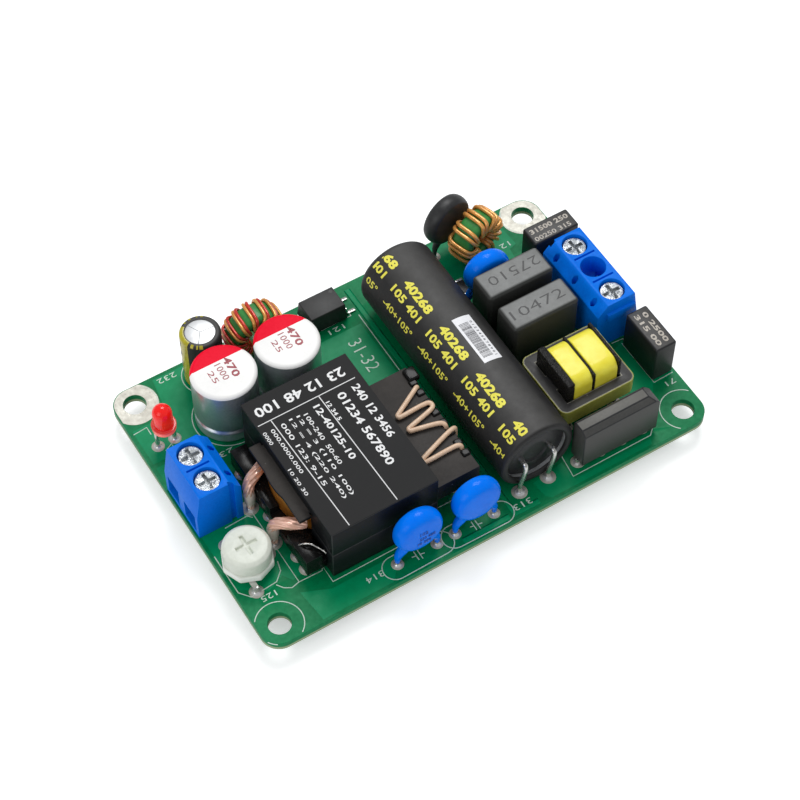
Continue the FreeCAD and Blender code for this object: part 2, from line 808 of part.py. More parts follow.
pin_blocks = [box(f"{rail_x} - (output_rail_reach - pin_block_width) / 2", f"{rail_y} + {place}",
                  f"{window_floor} + bobbin_flange", "pin_block_width", length, "pin_block_height")
              for place, length in block_places]
deck_x = f"({input_side} + seat_gap + deck_width / 2)"
deck_y = "(transformer_y - deck_shift)"
deck_floor = f"{window_top} - deck_thickness"
deck = box(deck_x, deck_y, deck_floor, "deck_width", "deck_length", "deck_thickness")
upper_neck = box(f"{input_side} + seat_gap", "transformer_y", f"{window_top} - bobbin_flange",
                 "2 * core_leg_radius", "flange_tab_width / 2", "bobbin_flange")
deck_edge = f"({deck_x} + deck_width / 2)"
pin_row = range(4)
row_middle = (len(pin_row) - 1) / 2
deck_pins = [f"({deck_y} + ({place} - {row_middle}) * deck_pin_pitch)" for place in pin_row]
notches = [box(deck_edge, place, deck_floor, "2 * deck_notch", "deck_notch", "deck_thickness")
           for place in deck_pins]
deck_feet = [box(f"{deck_edge} - deck_foot_width / 2",
                 f"{deck_y} + {side} * (deck_length - deck_foot_length) / 2", core_floor, "deck_foot_width",
                 "deck_foot_length", f"{deck_floor} - ({core_floor})")
             for side in (-1, 1)]
winding_radius = "core_window_radius - winding_gap"
coil_room = cylinder("transformer_x", "transformer_y", f"{window_floor} + bobbin_flange",
                     f"{winding_radius} + seat_gap", f"{window_height} - 2 * bobbin_flange")
bobbin_body = fuse(cut(fuse(rail, *pin_blocks, deck, *deck_feet), coil_room, *notches), barrel, *flange_discs,
                   upper_tab, lower_neck, upper_neck)
bobbin_bore = cylinder("transformer_x", "transformer_y", window_floor, "core_leg_radius + seat_gap",
                       window_height)
keep(cut(bobbin_body, bobbin_bore), "transformer_bobbin")

coil_floor = f"{window_floor} + bobbin_flange + seat_gap"
coil_height = f"{window_height} - 2 * bobbin_flange - 2 * seat_gap"
keep(cut(cylinder("transformer_x", "transformer_y", coil_floor, winding_radius, coil_height),
         cylinder("transformer_x", "transformer_y", coil_floor, f"{barrel_radius} + seat_gap", coil_height)),
     "transformer_winding")

output_pins = [pin(f"{rail_x} - output_rail_reach / 4", f"{rail_y} + {place} * output_rail_length / 2",
                   rail_floor) for place in (-0.84, -0.62, 0.1, 0.86)]
input_pins = [pin(f"{deck_edge} - deck_notch - deck_pin_inset", place, deck_floor) for place in deck_pins]
keep(group(*output_pins, *input_pins), "transformer_pins")

# Two stranded output leads leave the coil over the rail and go down through the board.
block_top = f"({window_floor} + bobbin_flange + pin_block_height)"
rail_face = f"({rail_x} - output_rail_reach / 2)"
litz_x = f"({rail_face} - litz_radius - seat_gap)"
litz_pairs = []
for end in ("far", "near"):
    foot_y = f"transformer_y + {end}_litz_foot"
    start = (f"{output_side} - {end}_litz_reach", f"transformer_y + {end}_litz_start",
             f"{block_top} + 1.8 * litz_radius")
    shoulder = (f"{litz_x} + litz_radius / 2", f"transformer_y + {end}_litz_shoulder",
                f"{block_top} + 1.6 * litz_radius")
    elbow = (litz_x, foot_y, f"{block_top} + 0.3 * litz_radius")
    foot = (litz_x, foot_y, top)
    route = [[value(size) for size in spot] for spot in (start, shoulder, elbow, foot)]
    tail = [route[-1], [route[-1][0], route[-1][1], -value("tail_length")]]
    through(foot[0], foot[1], "litz_tail_radius * square_room")
    litz_pairs.append(bent_solid(route, round_section(value("litz_radius"))).fuse(
        bent_solid(tail, round_section(value("litz_tail_radius")))))
keep(solids("TransformerOutputLeads", litz_pairs), "transformer_output_leads")

# Insulated input wires lie on the deck in a zigzag and drop through the notches in its edge to the pins.
# Each sharp bend is a short run across, one wire wide.
wire_level = f"{window_top} + tan_wire_radius + run_gap"
wire_low = f"{window_top} - tan_wire_drop"
notch_x = f"{deck_edge} - deck_notch / 2"
bend_x = f"{deck_edge} - tan_bend_setback"
loop_x = f"{deck_edge} - tan_loop_setback"
clear_x = f"{deck_edge} + tan_wire_radius + run_gap"
near_pin, third_pin, second_pin, far_pin = deck_pins


def bend_at(x, y):
    return [(x, f"{y} + tan_wire_radius", wire_level), (x, f"{y} - tan_wire_radius", wire_level)]


zigzag = [(notch_x, far_pin, wire_low), (notch_x, far_pin, wire_level),
          *bend_at(bend_x, f"0.25 * {far_pin} + 0.75 * {second_pin}"), *bend_at(notch_x, second_pin),
          *bend_at(bend_x, f"0.55 * {second_pin} + 0.45 * {third_pin}"),
          (notch_x, third_pin, wire_level), (notch_x, third_pin, wire_low)]
side_y = f"{third_pin} - tan_wire_side_step"
loop_y = f"0.2 * {third_pin} + 0.8 * {near_pin}"
loop = [(clear_x, side_y, wire_low), (clear_x, side_y, wire_level),
        (loop_x, f"{loop_y} + tan_loop_width / 2", wire_level),
        (loop_x, f"{loop_y} - tan_loop_width / 2", wire_level),
        (notch_x, near_pin, wire_level), (notch_x, near_pin, wire_low)]
tan_wires = []
for spots in (zigzag, loop):
    route = [[value(size) for size in spot] for spot in spots]
    tan_wires.append(bent_solid(route, round_section(value("tan_wire_radius"))))
keep(solids("TransformerInputWires", tan_wires), "transformer_input_wires")

# Thin bare wire that ties the core to the ground pin.
shield_y = f"{rail_y} - output_rail_length / 2 + shield_wire_inset"
shield_z = f"{window_floor} + bobbin_flange + pin_block_height + shield_wire_radius + run_gap"
shield_route = [
    (f"{rail_x} - output_rail_reach / 2 + 0.6", f"{shield_y} + 1.8", shield_z),
    (f"{rail_x} - 0.2", f"{shield_y} + 1.4", f"{shield_z} + 0.7"),
    (f"{output_side} - 1.1", f"{shield_y} + 0.2", f"{shield_z} + 0.4"),
    (f"{output_side} - shield_wire_radius - run_gap", f"{shield_y} - 1.6", f"{shield_z} - 0.2"),
]
route = [[value(size) for size in spot] for spot in shield_route]
keep(solids("ShieldWire", [bent_solid(route, round_section(value("shield_wire_radius"), 4))]),
     "transformer_shield_wire")

# Bulk capacitor, turned about its own axis and laid along Y with its leads at the near end.
bulk_x = f"({deck_edge} + bulk_gap + bulk_radius)"
bulk_z = f"{top} + bulk_rest + bulk_radius"
bulk_near = "(bulk_y - bulk_length / 2)"


def lying(owner):
    owner.Placement.Rotation = FreeCAD.Rotation(FreeCAD.Vector(1, 0, 0), -90)
    owner.setExpression("Placement.Base.x", cells(bulk_x))
    owner.setExpression("Placement.Base.y", cells(bulk_near))
    owner.setExpression("Placement.Base.z", cells(bulk_z))
    return owner


bulk_can_radius = "bulk_radius - sleeve_wall"
bulk_seat = f"{bulk_can_radius} - bulk_seal_wall"
bulk_can = lying(doc.addObject("PartDesign::Body", "Body"))
bulk_profile = sketch(bulk_can, "XZ")
seal_top = "bulk_seal_depth + bulk_seal_height"
polygon(bulk_profile, (0, seal_top), (bulk_seat, seal_top), (bulk_seat, "sleeve_wall"),
        (bulk_can_radius, "sleeve_wall"), (bulk_can_radius, "bulk_length - bulk_edge"),
        (f"{bulk_can_radius} - bulk_edge", "bulk_length"), (0, "bulk_length"))
revolve(bulk_can, bulk_profile)
keep(bulk_can, "bulk_capacitor_can")
bulk_sleeve = lying(doc.addObject("PartDesign::Body", "Body"))
bulk_sleeve_profile = sketch(bulk_sleeve, "XZ")
bulk_mouth = f"{bulk_can_radius} - bulk_rim"
polygon(bulk_sleeve_profile, (bulk_can_radius, "sleeve_wall"), (bulk_mouth, "sleeve_wall"),
        (bulk_mouth, 0), ("bulk_radius", 0), ("bulk_radius", "bulk_length - bulk_edge"),
        (bulk_can_radius, "bulk_length - bulk_edge"))
revolve(bulk_sleeve, bulk_sleeve_profile)
keep(bulk_sleeve, "bulk_capacitor_sleeve")
bulk_seal = lying(doc.addObject("PartDesign::Body", "Body"))
bulk_seal_profile = sketch(bulk_seal, "XY", "bulk_seal_depth")
circle(bulk_seal_profile, 0, 0, bulk_seat)
for side in (-1, 1):
    hexagon(bulk_seal_profile, f"{side} * radial_lead_spread", 0, "bulk_lead_radius")
pad(bulk_seal, bulk_seal_profile, "bulk_seal_height")
keep(bulk_seal, "bulk_capacitor_seal")
bulk_leads = []
for side in (-1, 1):
    lead_x = f"{bulk_x} + {side} * radial_lead_spread"
    foot_x = f"{lead_x} - bulk_lead_shift"
    foot_y = f"{bulk_near} + bulk_seal_depth - bulk_lead_reach"
    spots = [(lead_x, f"{bulk_near} + {seal_top}", bulk_z), (lead_x, f"{foot_y} + bulk_lead_bend", bulk_z),
             (lead_x, foot_y, f"{bulk_z} - bulk_lead_drop"), (foot_x, foot_y, f"{top} + bulk_lead_foot"),
             (foot_x, foot_y, "-tail_length")]
    through(foot_x, foot_y, "bulk_lead_radius * square_room")
    route = [[value(size) for size in spot] for spot in spots]
    bulk_leads.append(bent_solid(route, round_section(value("bulk_lead_radius"))))
keep(solids("BulkLeads", bulk_leads), "bulk_capacitor_leads")

# Suppression capacitors in moulded boxes beside the bulk capacitor.
input_leads = []


def moulded_box(x, y, length, width, height, edge):
    owner = body(x, y, f"{top} + stand_off")
    outline = sketch(owner)
    rectangle(outline, 0, 0, length, width)
    pad(owner, outline, height)
    chamfer(owner, edge, lambda found: upright(found) or level(height)(found))
    return owner


box_x = f"({bulk_x} + bulk_radius + box_capacitor_gap + box_capacitor_length / 2)"
box_places = [f"box_capacitor_first_y - {number} * box_capacitor_pitch" for number in range(2)]
keep(group(*[moulded_box(box_x, place, "box_capacitor_length", "box_capacitor_width", "box_capacitor_height",
                         "box_capacitor_edge") for place in box_places]), "suppression_capacitors")
input_leads += [lead(f"{box_x} + {side} * box_lead_spread", place, f"{top} + stand_off")
                for place in box_places for side in (-1, 1)]

# Fuses, one along each direction of the board.
fuse_x = f"({right_edge} - first_fuse_inset)"
side_fuse_x = f"({right_edge} - second_fuse_inset)"
first_fuse = moulded_box(fuse_x, "first_fuse_y", "fuse_length", "fuse_width", "fuse_height", "fuse_edge")
second_fuse = moulded_box(side_fuse_x, "second_fuse_y", "fuse_width", "fuse_length", "fuse_height", "fuse_edge")
keep(group(first_fuse, second_fuse), "fuses")
input_leads += [lead(f"{fuse_x} + {side} * fuse_lead_spread", "first_fuse_y", f"{top} + stand_off")
                for side in (-1, 1)]
input_leads += [lead(side_fuse_x, f"second_fuse_y + {side} * fuse_lead_spread", f"{top} + stand_off")
                for side in (-1, 1)]


# Discs stand on edge: each is a lens turned about its own Y axis, and its coating runs down the two leads.
def coated_disc(x, y, z, radius, thickness, edge, turn, spread, leg_floor):
    owner = body(x, y, z, turn)
    lens = sketch(owner)
    polygon(lens, (0, f"-{thickness} / 2"), (f"{radius} - {edge}", f"-{thickness} / 2"), (radius, 0),
            (f"{radius} - {edge}", f"{thickness} / 2"), (0, f"{thickness} / 2"))
    revolve(owner, lens)
    for side in (-1, 1):
        leg = sketch(owner, "XY", f"{leg_floor} - ({z})")
        rectangle(leg, f"{side} * {spread}", 0, "2 * disc_leg_radius", "2 * disc_leg_radius")
        pad(owner, leg, f"{z} - ({leg_floor}) - {radius} * 0.25")
    return owner


disc_floor = f"{top} + 3 * stand_off"
disc_places = (("first_disc_x", "front_disc_y"), ("second_disc_x", "front_disc_y"),
               ("third_disc_x", "third_disc_y"))
disc_leg_spread = "(disc_radius - disc_leg_radius)"
keep(group(*[coated_disc(x, y, f"{top} + disc_height", "disc_radius", "disc_thickness", "disc_edge", 0,
                         disc_leg_spread, disc_floor) for x, y in disc_places]), "disc_capacitors")
keep(group(*[lead(f"{x} + {side} * {disc_leg_spread}", y, disc_floor)
             for x, y in disc_places for side in (-1, 1)]), "disc_capacitor_leads")
keep(coated_disc("thermistor_x", "thermistor_y", f"{top} + thermistor_height", "thermistor_radius",
                 "thermistor_thickness", "disc_edge", "thermistor_turn", "thermistor_lead_spread",
                 disc_floor), "thermistor")
for side in (-1, 1):
    across = f"{side} * thermistor_lead_spread * cos(thermistor_turn)"
    along = f"{side} * thermistor_lead_spread * sin(thermistor_turn)"
    input_leads.append(lead(f"thermistor_x + {across}", f"thermistor_y + {along}", disc_floor))

# Bridge rectifier: a moulded slab on edge with a bevelled top and one cut corner.
bridge = body("bridge_x", "bridge_y", f"{top} + bridge_floor")
bridge_profile = sketch(bridge, "YZ")
half = "bridge_thickness / 2"
polygon(bridge_profile, (f"-{half}", 0), (half, 0), (half, "bridge_height - bridge_chamfer / 2"),
        (f"{half} - bridge_chamfer / 2", "bridge_height"), (f"bridge_chamfer - {half}", "bridge_height"),
        (f"-{half}", "bridge_height - bridge_chamfer"))
pad(bridge, bridge_profile, "bridge_length", centred=True)
corner = sketch(bridge, "XZ")
polygon(corner, ("bridge_length / 2 - bridge_corner", "bridge_height"),
        ("bridge_length / 2", "bridge_height"), ("bridge_length / 2", "bridge_height - bridge_corner"))
pocket(bridge, corner, "2 * bridge_thickness", centred=True)
keep(bridge, "bridge_rectifier")
input_leads += [pin(f"bridge_x - bridge_lead_shift + ({place} - {row_middle}) * bridge_lead_pitch",
                    "bridge_y", f"{top} + bridge_floor") for place in pin_row]
keep(group(*input_leads), "input_component_leads")

# Common mode choke: a closed frame core, and a two chamber bobbin on its middle leg.
choke_x = f"({bulk_x} + bulk_radius + choke_gap + choke_length / 2)"
core_z = f"{top} + choke_core_floor"


def choke_frame_block(growth):
    owner = body(choke_x, "choke_y", core_z)
    outer = sketch(owner)
    rectangle(outer, 0, 0, f"choke_length + 2 * {growth}", f"choke_width + 2 * {growth}")
    pad(owner, outer, "choke_core_thickness")
    fillet(owner, f"choke_corner + {growth}", upright)
    return owner


choke_core = choke_frame_block("0")
window_width = "(choke_width / 2 - choke_frame - choke_leg_width / 2)"
for side in (-1, 1):
    opening = sketch(choke_core)
    rectangle(opening, 0, f"{side} * (choke_leg_width + {window_width}) / 2",
              "choke_length - 2 * choke_frame", window_width)
    pocket(choke_core, opening, "choke_core_thickness", back=True)
keep(choke_core, "choke_core")

keep(cut(choke_frame_block("choke_tape_thickness"), choke_frame_block("0")), "choke_tape")

choke_middle = f"{core_z} + choke_core_thickness / 2"
inner_length = "(choke_length - 2 * choke_frame - 2 * seat_gap)"
tube_width = "(choke_leg_width + 2 * seat_gap + 2 * choke_bobbin_wall)"
tube_height = "(choke_core_thickness + 2 * seat_gap + 2 * choke_bobbin_wall)"
flange_height = "(choke_coil_height + seat_gap)"


def choke_plate(place, length, width, height):
    return box(f"{choke_x} + {place}", "choke_y", f"{choke_middle} - ({height}) / 2", length, width, height)


first_flange = f"(choke_first_flange / 2 - {inner_length} / 2)"
last_flange = f"({inner_length} / 2 - choke_flange / 2)"
first_chamber = f"(choke_first_flange - {inner_length} / 2)"
last_chamber = f"({inner_length} / 2 - choke_flange)"
divider = f"({first_chamber} * 0.55 + {last_chamber} * 0.45)"
foot_height = f"({choke_middle} - {flange_height} / 2 - {top})"
bobbin = fuse(choke_plate("0", inner_length, tube_width, tube_height),
              choke_plate(first_flange, "choke_first_flange", "choke_coil_width", flange_height),
              choke_plate(divider, "choke_divider", "choke_coil_width", "choke_coil_height - choke_divider"),
              choke_plate(last_flange, "choke_flange", "choke_coil_width", flange_height),
              box(f"{choke_x} + {first_flange}", "choke_y", f"{top} + seat_gap", "choke_first_flange",
                  "choke_coil_width", foot_height),
              box(f"{choke_x} + {last_flange}", "choke_y", f"{top} + seat_gap", "choke_flange",
                  "choke_coil_width", foot_height))
keep(cut(bobbin, choke_plate("0", f"{inner_length} + seat_gap", "choke_leg_width + 2 * seat_gap",
                             "choke_core_thickness + 2 * seat_gap")), "choke_bobbin")


def choke_coil(start, end):
    length = f"({end} - {start} - 2 * run_gap)"
    owner = body(f"{choke_x} + ({start} + {end}) / 2", "choke_y", choke_middle)
    face = sketch(owner, "YZ")
    rectangle(face, 0, 0, "choke_coil_width", "choke_coil_height")
    pad(owner, face, length, centred=True)
    fillet(owner, "choke_coil_edge", lambda found: near(found.BoundBox.XLength, value(length)))
    bore = sketch(owner, "YZ")
    rectangle(bore, 0, 0, f"{tube_width} + 2 * run_gap", f"{tube_height} + 2 * run_gap")
    pocket(owner, bore, f"{length} + seat_gap", centred=True)
    return owner


keep(group(choke_coil(first_chamber, f"({divider} - choke_divider / 2)"),
           choke_coil(f"({divider} + choke_divider / 2)", last_chamber)), "choke_windings")
keep(group(*[pin(f"{choke_x} + {place}", f"choke_y + {side} * choke_pin_spread_y", f"{top} + seat_gap")
             for place in (first_flange, last_flange) for side in (-1, 1)]), "choke_pins")


# Ring cores stand on edge with their axis along Y before they are turned.
def ring_core(prefix):
    owner = body(f"{prefix}_x", f"{prefix}_y", f"{top} + {prefix}_height", f"{prefix}_turn")
    face = sketch(owner, "XZ")
    circle(face, 0, 0, f"{prefix}_radius")
    circle(face, 0, 0, f"{prefix}_bore")
    pad(owner, face, f"{prefix}_thickness", centred=True)
    return owner


# One wire wound on a ring: four corners for each turn, then down to the board at both ends. The second wire
# is the first one turned half round about the vertical, so it lies between its turns or on the other half.
def ring_winding(prefix, first_angle, last_angle, turns, halves=0):
    radius = value(f"{prefix}_wire")
    lift = radius + value("winding_lift")
    outer = value(f"{prefix}_radius") + lift
    inner = value(f"{prefix}_bore") - lift
    depth = value(f"{prefix}_thickness") / 2 + lift
    step = (last_angle - first_angle) / turns
    corners = []
    for turn in range(turns):
        angle = first_angle + step * turn
        corners += [(outer, -depth, angle), (outer, depth, angle), (inner, depth, angle + step / 2),
                    (inner, -depth, angle + step / 2)]
    corners.append((outer, -depth, last_angle))
    loops = [(reach * math.cos(math.radians(angle)), across, reach * math.sin(math.radians(angle)))
             for reach, across, angle in corners]
    centre_height = value(f"{top} + {prefix}_height")
    floor = -value("tail_length") - centre_height
    end_x, end_y, end_z = loops[-1]
    end_y -= value("ring_tail_reach")
    route = [(loops[0][0], loops[0][1], floor)] + loops
    route += [(end_x, end_y, end_z - lift), (end_x, end_y, floor)]
    swing = math.radians(value(f"{prefix}_turn") + 180 * halves)
    centre_x, centre_y = value(f"{prefix}_x"), value(f"{prefix}_y")
    spots = [(centre_x + x * math.cos(swing) - y * math.sin(swing),
              centre_y + x * math.sin(swing) + y * math.cos(swing), centre_height + z) for x, y, z in route]
    for spot in (spots[0], spots[-1]):
        through(spot[0], spot[1], f"{radius} * square_room")
    return bent_solid(spots, round_section(radius, 4))


keep(ring_core("input_ring"), "input_inductor_core")
keep(solids("InputWindings", [ring_winding("input_ring", 260, 118, 6, halves) for halves in (0, 1)]),
     "input_inductor_windings")
keep(ring_core("output_ring"), "output_inductor_core")
keep(solids("OutputWindings", [ring_winding("output_ring", 247, -53, 10, halves) for halves in (0, 1)]),
     "output_inductor_winding")

# Optocoupler with its leads bent out flat on the board.
coupler_floor = f"{top} + stand_off"
coupler = doc.addObject("Part::Wedge", "Coupler")
bind(coupler, Xmin="-coupler_length / 2", Xmax="coupler_length / 2", Zmin="-coupler_width / 2",
     Zmax="coupler_width / 2", Ymin=0, Ymax="coupler_height",
     X2min="coupler_draft - coupler_length / 2", X2max="coupler_length / 2 - coupler_draft",
     Z2min="coupler_draft - coupler_width / 2", Z2max="coupler_width / 2 - coupler_draft")
coupler.Placement.Rotation = FreeCAD.Rotation(FreeCAD.Vector(1, 0, 0), 90)
coupler.setExpression("Placement.Base.x", cells("coupler_x"))
coupler.setExpression("Placement.Base.y", cells("coupler_y"))
coupler.setExpression("Placement.Base.z", cells(coupler_floor))
keep(coupler, "optocoupler")


def gull_lead(x, y, side, reach, body_half, rise, board_face, down, width):
    thickness = value("gull_thickness")
    sole = board_face + down * thickness / 2
    spots = [(x + side * (body_half + 0.55 * thickness), y, board_face + down * rise),
             (x + side * (body_half + 2 * thickness), y, sole), (x + side * reach, y, sole)]
    return bent_solid(spots, flat_section(width, thickness))


package_leads = []
for side in (-1, 1):
    for row in (-1, 1):
        package_leads.append(gull_lead(value("coupler_x"), value(f"coupler_y + {row} * gull_pitch / 2"), side,
                                       value("gull_span"), value("coupler_length / 2"), value("gull_rise"),
                                       value(top), 1, value("gull_width")))

# Underside: controller, power transistors and chip parts between the soldered leads.
ic_places = ((-5.0, 10.5), (-17.5, 4.0))
ic_bodies = []
for ic_x, ic_y in ic_places:
    ic_bodies.append(box(ic_x, ic_y, "-small_ic_height - seat_gap", "small_ic_width", "small_ic_length",
                         "small_ic_height"))
    for side in (-1, 1):
        for place in pin_row:
            package_leads.append(gull_lead(ic_x, ic_y + (place - row_middle) * value("small_ic_pitch"), side,
                                           value("small_ic_width / 2 + small_ic_lead_reach"),
                                           value("small_ic_width / 2"), value("small_ic_height / 2"), 0, -1,
                                           value("small_ic_lead_width")))
keep(group(*ic_bodies), "controller_chips")
power_places = ((5.0, -8.0), (-15.0, -6.0))
keep(group(*[box(x, y, "-power_case_height - seat_gap", "power_case_length", "power_case_width",
                 "power_case_height") for x, y in power_places]), "power_transistors")
for x, y in power_places:
    for place in (-1, 1):
        package_leads.append(gull_lead(x, y + place * value("power_lead_spread"), 1,
                                       value("power_case_length / 2 + power_lead_reach"),
                                       value("power_case_length / 2"), value("power_case_height / 2"), 0, -1,
                                       value("gull_width")))
    tab_corner = FreeCAD.Vector(x - value("power_case_length / 2 + power_tab_length"),
                                y - value("power_tab_width / 2"), -value("power_tab_thickness"))
    package_leads.append(Part.makeBox(value("power_tab_length"), value("power_tab_width"),
                                      value("power_tab_thickness"), tab_corner))
keep(solids("PackageLeads", package_leads), "package_leads")

chip_places = ((-23.5, 4.0), (-23.5, 0.5), (-8.5, 3.5), (0.5, 5.5), (0.5, 9.0), (0.5, 12.5), (4.5, 4.0),
               (4.5, 8.0), (-23.5, -3.0), (-18.5, 9.0), (12.5, 10.0), (12.5, 13.5), (12.5, -12.0),
               (22.5, 2.8))
chip_floor = "-chip_height - seat_gap"
chips = []
ends = []
for x, y in chip_places:
    chips.append(box(x, y, chip_floor, "chip_length - 2 * chip_end", "chip_width", "chip_height"))
    for side in (-1, 1):
        ends.append(box(f"{x} + {side} * (chip_length - chip_end) / 2", y, chip_floor, "chip_end", "chip_width",
                        "chip_height + seat_gap"))
resistors, capacitors = chips[0::2], chips[1::2]
resistors.append(box("bleeder_x", "bleeder_y", f"{top} + seat_gap", "bleeder_width",
                     "bleeder_length - 2 * chip_end", "chip_height"))
ends += [box("bleeder_x", f"bleeder_y + {side} * (bleeder_length - chip_end) / 2", top, "bleeder_width",
             "chip_end", "chip_height + seat_gap") for side in (-1, 1)]
keep(group(*resistors), "chip_resistors")
keep(group(*capacitors), "chip_capacitors")
keep(group(*ends), "chip_terminations")


# Solder joints: a tapered collar round each lead on the underside, with flat sides.
def square_ring(x, y, z, radius):
    half = radius * math.sqrt(0.5)
    return [FreeCAD.Vector(x + across * half, y + along * half, z)
            for across, along in ((1, 1), (-1, 1), (-1, -1), (1, -1))]


def flat_face(*corners):
    return Part.Face(Part.makePolygon(list(corners) + [corners[0]]))


joints = []
for x, y, radius in lead_places:
    x, y, radius = value(x), value(y), value(radius)
    wide = square_ring(x, y, 0, radius + value("solder_spread"))
    root = square_ring(x, y, 0, radius)
    tip = square_ring(x, y, -value("solder_height"), radius)
    sides = []
    for index in range(4):
        after = (index + 1) % 4
        for outer, inner in ((wide, tip), (root, tip), (wide, root)):
            sides.append(flat_face(outer[index], outer[after], inner[after], inner[index]))
    collar = Part.Solid(Part.Shell(sides))
    if collar.Volume < 0:
        collar.reverse()
    joints.append(collar)
keep(solids("SolderJoints", joints), "solder_joints")

# Circuit board with its mounting holes, drilled for every lead.
board = body()
outline = sketch(board)
rectangle(outline, 0, 0, "board_length", "board_width")
pad(board, outline, "board_thickness")
fillet(board, "board_corner", upright)
holes = sketch(board)
for side in (-1, 1):
    for end in (-1, 1):
        circle(holes, f"{side} * (board_length / 2 - hole_inset)", f"{end} * (board_width / 2 - hole_inset)",
               "mounting_hole_radius")
pocket(board, holes, "board_thickness", back=True)
drills = [prism(x, y, "0", f"{radius} + drill_gap", "board_thickness", 4, 45) for x, y, radius in lead_places]
keep(cut(board, *drills), "circuit_board")

# Build, check every object and write one file for each sub-part.
doc.recompute()
for thing in doc.Objects:
    if "Invalid" in thing.State or "Error" in thing.State:
        raise RuntimeError("failed: %s %s %s" % (thing.Name, thing.Label, thing.State))
    if thing.TypeId == "PartDesign::Pocket":
        if thing.Shape.Volume > thing.BaseFeature.Shape.Volume - 1e-6:
            raise RuntimeError("a pocket cuts nothing: " + thing.Name)
for node in nodes:
    if node.Shape.isNull() or not node.Shape.isValid():
        raise RuntimeError("bad shape: " + node.Label)
os.makedirs("parts", exist_ok=True)
for node in nodes:
    node.Shape.exportStep("parts/%s.step" % node.Label)
print(len(nodes), "sub-parts")
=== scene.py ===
# Looks of an open frame power supply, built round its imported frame. Metres, +Z up out of the board.
import bpy
import math
import random
from mathutils import Matrix, Vector


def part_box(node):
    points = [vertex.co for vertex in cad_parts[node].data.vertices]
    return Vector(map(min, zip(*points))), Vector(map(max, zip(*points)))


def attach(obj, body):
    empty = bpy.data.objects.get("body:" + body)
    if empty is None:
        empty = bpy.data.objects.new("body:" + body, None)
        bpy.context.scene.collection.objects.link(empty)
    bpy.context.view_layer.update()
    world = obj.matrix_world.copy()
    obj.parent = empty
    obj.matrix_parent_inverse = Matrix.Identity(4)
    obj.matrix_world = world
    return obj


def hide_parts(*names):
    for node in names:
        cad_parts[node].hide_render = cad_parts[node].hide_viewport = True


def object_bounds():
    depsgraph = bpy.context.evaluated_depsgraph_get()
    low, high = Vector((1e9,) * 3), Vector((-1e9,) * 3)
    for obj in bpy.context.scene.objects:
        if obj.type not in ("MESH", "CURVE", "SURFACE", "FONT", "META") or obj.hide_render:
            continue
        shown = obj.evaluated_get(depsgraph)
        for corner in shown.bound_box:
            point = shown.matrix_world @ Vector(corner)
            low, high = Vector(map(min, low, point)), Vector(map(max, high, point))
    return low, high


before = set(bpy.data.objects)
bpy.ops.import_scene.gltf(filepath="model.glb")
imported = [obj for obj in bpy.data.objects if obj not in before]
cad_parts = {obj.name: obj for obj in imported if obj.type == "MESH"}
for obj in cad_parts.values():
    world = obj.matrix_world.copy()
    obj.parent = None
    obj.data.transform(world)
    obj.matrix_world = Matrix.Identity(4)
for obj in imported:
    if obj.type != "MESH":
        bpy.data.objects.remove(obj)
cadBox = [list(corner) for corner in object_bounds()]
mm = 0.001
print("frame loaded:", len(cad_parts), "nodes")


# Selection and edit mode
def settle():
    if bpy.context.mode != "OBJECT":
        bpy.ops.object.mode_set(mode="OBJECT")
    bpy.ops.object.select_all(action="DESELECT")


def take(piece):
    settle()
    piece.select_set(True)
    bpy.context.view_layer.objects.active = piece
    return piece


def startEdit(piece):
    take(piece)
    bpy.ops.object.mode_set(mode="EDIT")
    bpy.ops.mesh.select_all(action="SELECT")


def settlePlace(piece):
    take(piece)
    bpy.ops.object.transform_apply(location=True, rotation=True, scale=True)
    return piece


def place(piece, spot=(0, 0, 0), turn=0):
    piece.rotation_euler = (0, 0, math.radians(turn))
    piece.location = Vector(spot) * mm
    return settlePlace(piece)


def modify(piece, kind, **values):
    take(piece)
    change = piece.modifiers.new(kind.title(), kind)
    for key, value in values.items():
        setattr(change, key, value)
    bpy.ops.object.modifier_apply(modifier=change.name)
    return piece


def show(name, data):
    thing = bpy.data.objects.new(name, data)
    bpy.context.scene.collection.objects.link(thing)
    return thing


def thicken(piece, thickness, offset=0):
    return modify(piece, "SOLIDIFY", thickness=thickness * mm, offset=offset)


def faceOutward(piece):
    startEdit(piece)
    bpy.ops.mesh.normals_make_consistent(inside=False)
    settle()
    return piece


# Bevels round the edges, and with rim set the new narrow faces take the piece's second material, which on
# the terminals and the black cores and bobbin is a lighter painted edge highlight.
def soften(piece, width, segments=2, angle=32, rim=False):
    if rim:
        piece.data.materials.clear()
        piece.data.materials.append(None)
        piece.data.materials.append(None)
    return modify(piece, "BEVEL", width=width * mm, segments=segments, limit_method="ANGLE",
                  angle_limit=math.radians(angle), use_clamp_overlap=True, material=1 if rim else -1)


def joinAll(name, pieces):
    take(pieces[0])
    for piece in pieces:
        piece.select_set(True)
    if len(pieces) > 1:
        bpy.ops.object.join()
    joined = bpy.context.object
    joined.name = name
    return joined


# Starting shapes, with sizes in millimetres
def newPiece(name, spots, edges=(), faces=()):
    mesh = bpy.data.meshes.new(name)
    mesh.from_pydata([[value * mm for value in spot] for spot in spots], edges, faces)
    return show(name, mesh)


def addBlock(name, centre, size):
    settle()
    bpy.ops.mesh.primitive_cube_add(size=1, location=Vector(centre) * mm)
    piece = bpy.context.object
    piece.name = name
    piece.scale = Vector(size) * mm
    return settlePlace(piece)


def addRound(name, centre, radius, depth, sides=64):
    settle()
    bpy.ops.mesh.primitive_cylinder_add(vertices=sides, radius=radius * mm, depth=depth * mm,
                                        location=Vector(centre) * mm)
    piece = bpy.context.object
    piece.name = name
    return settlePlace(piece)


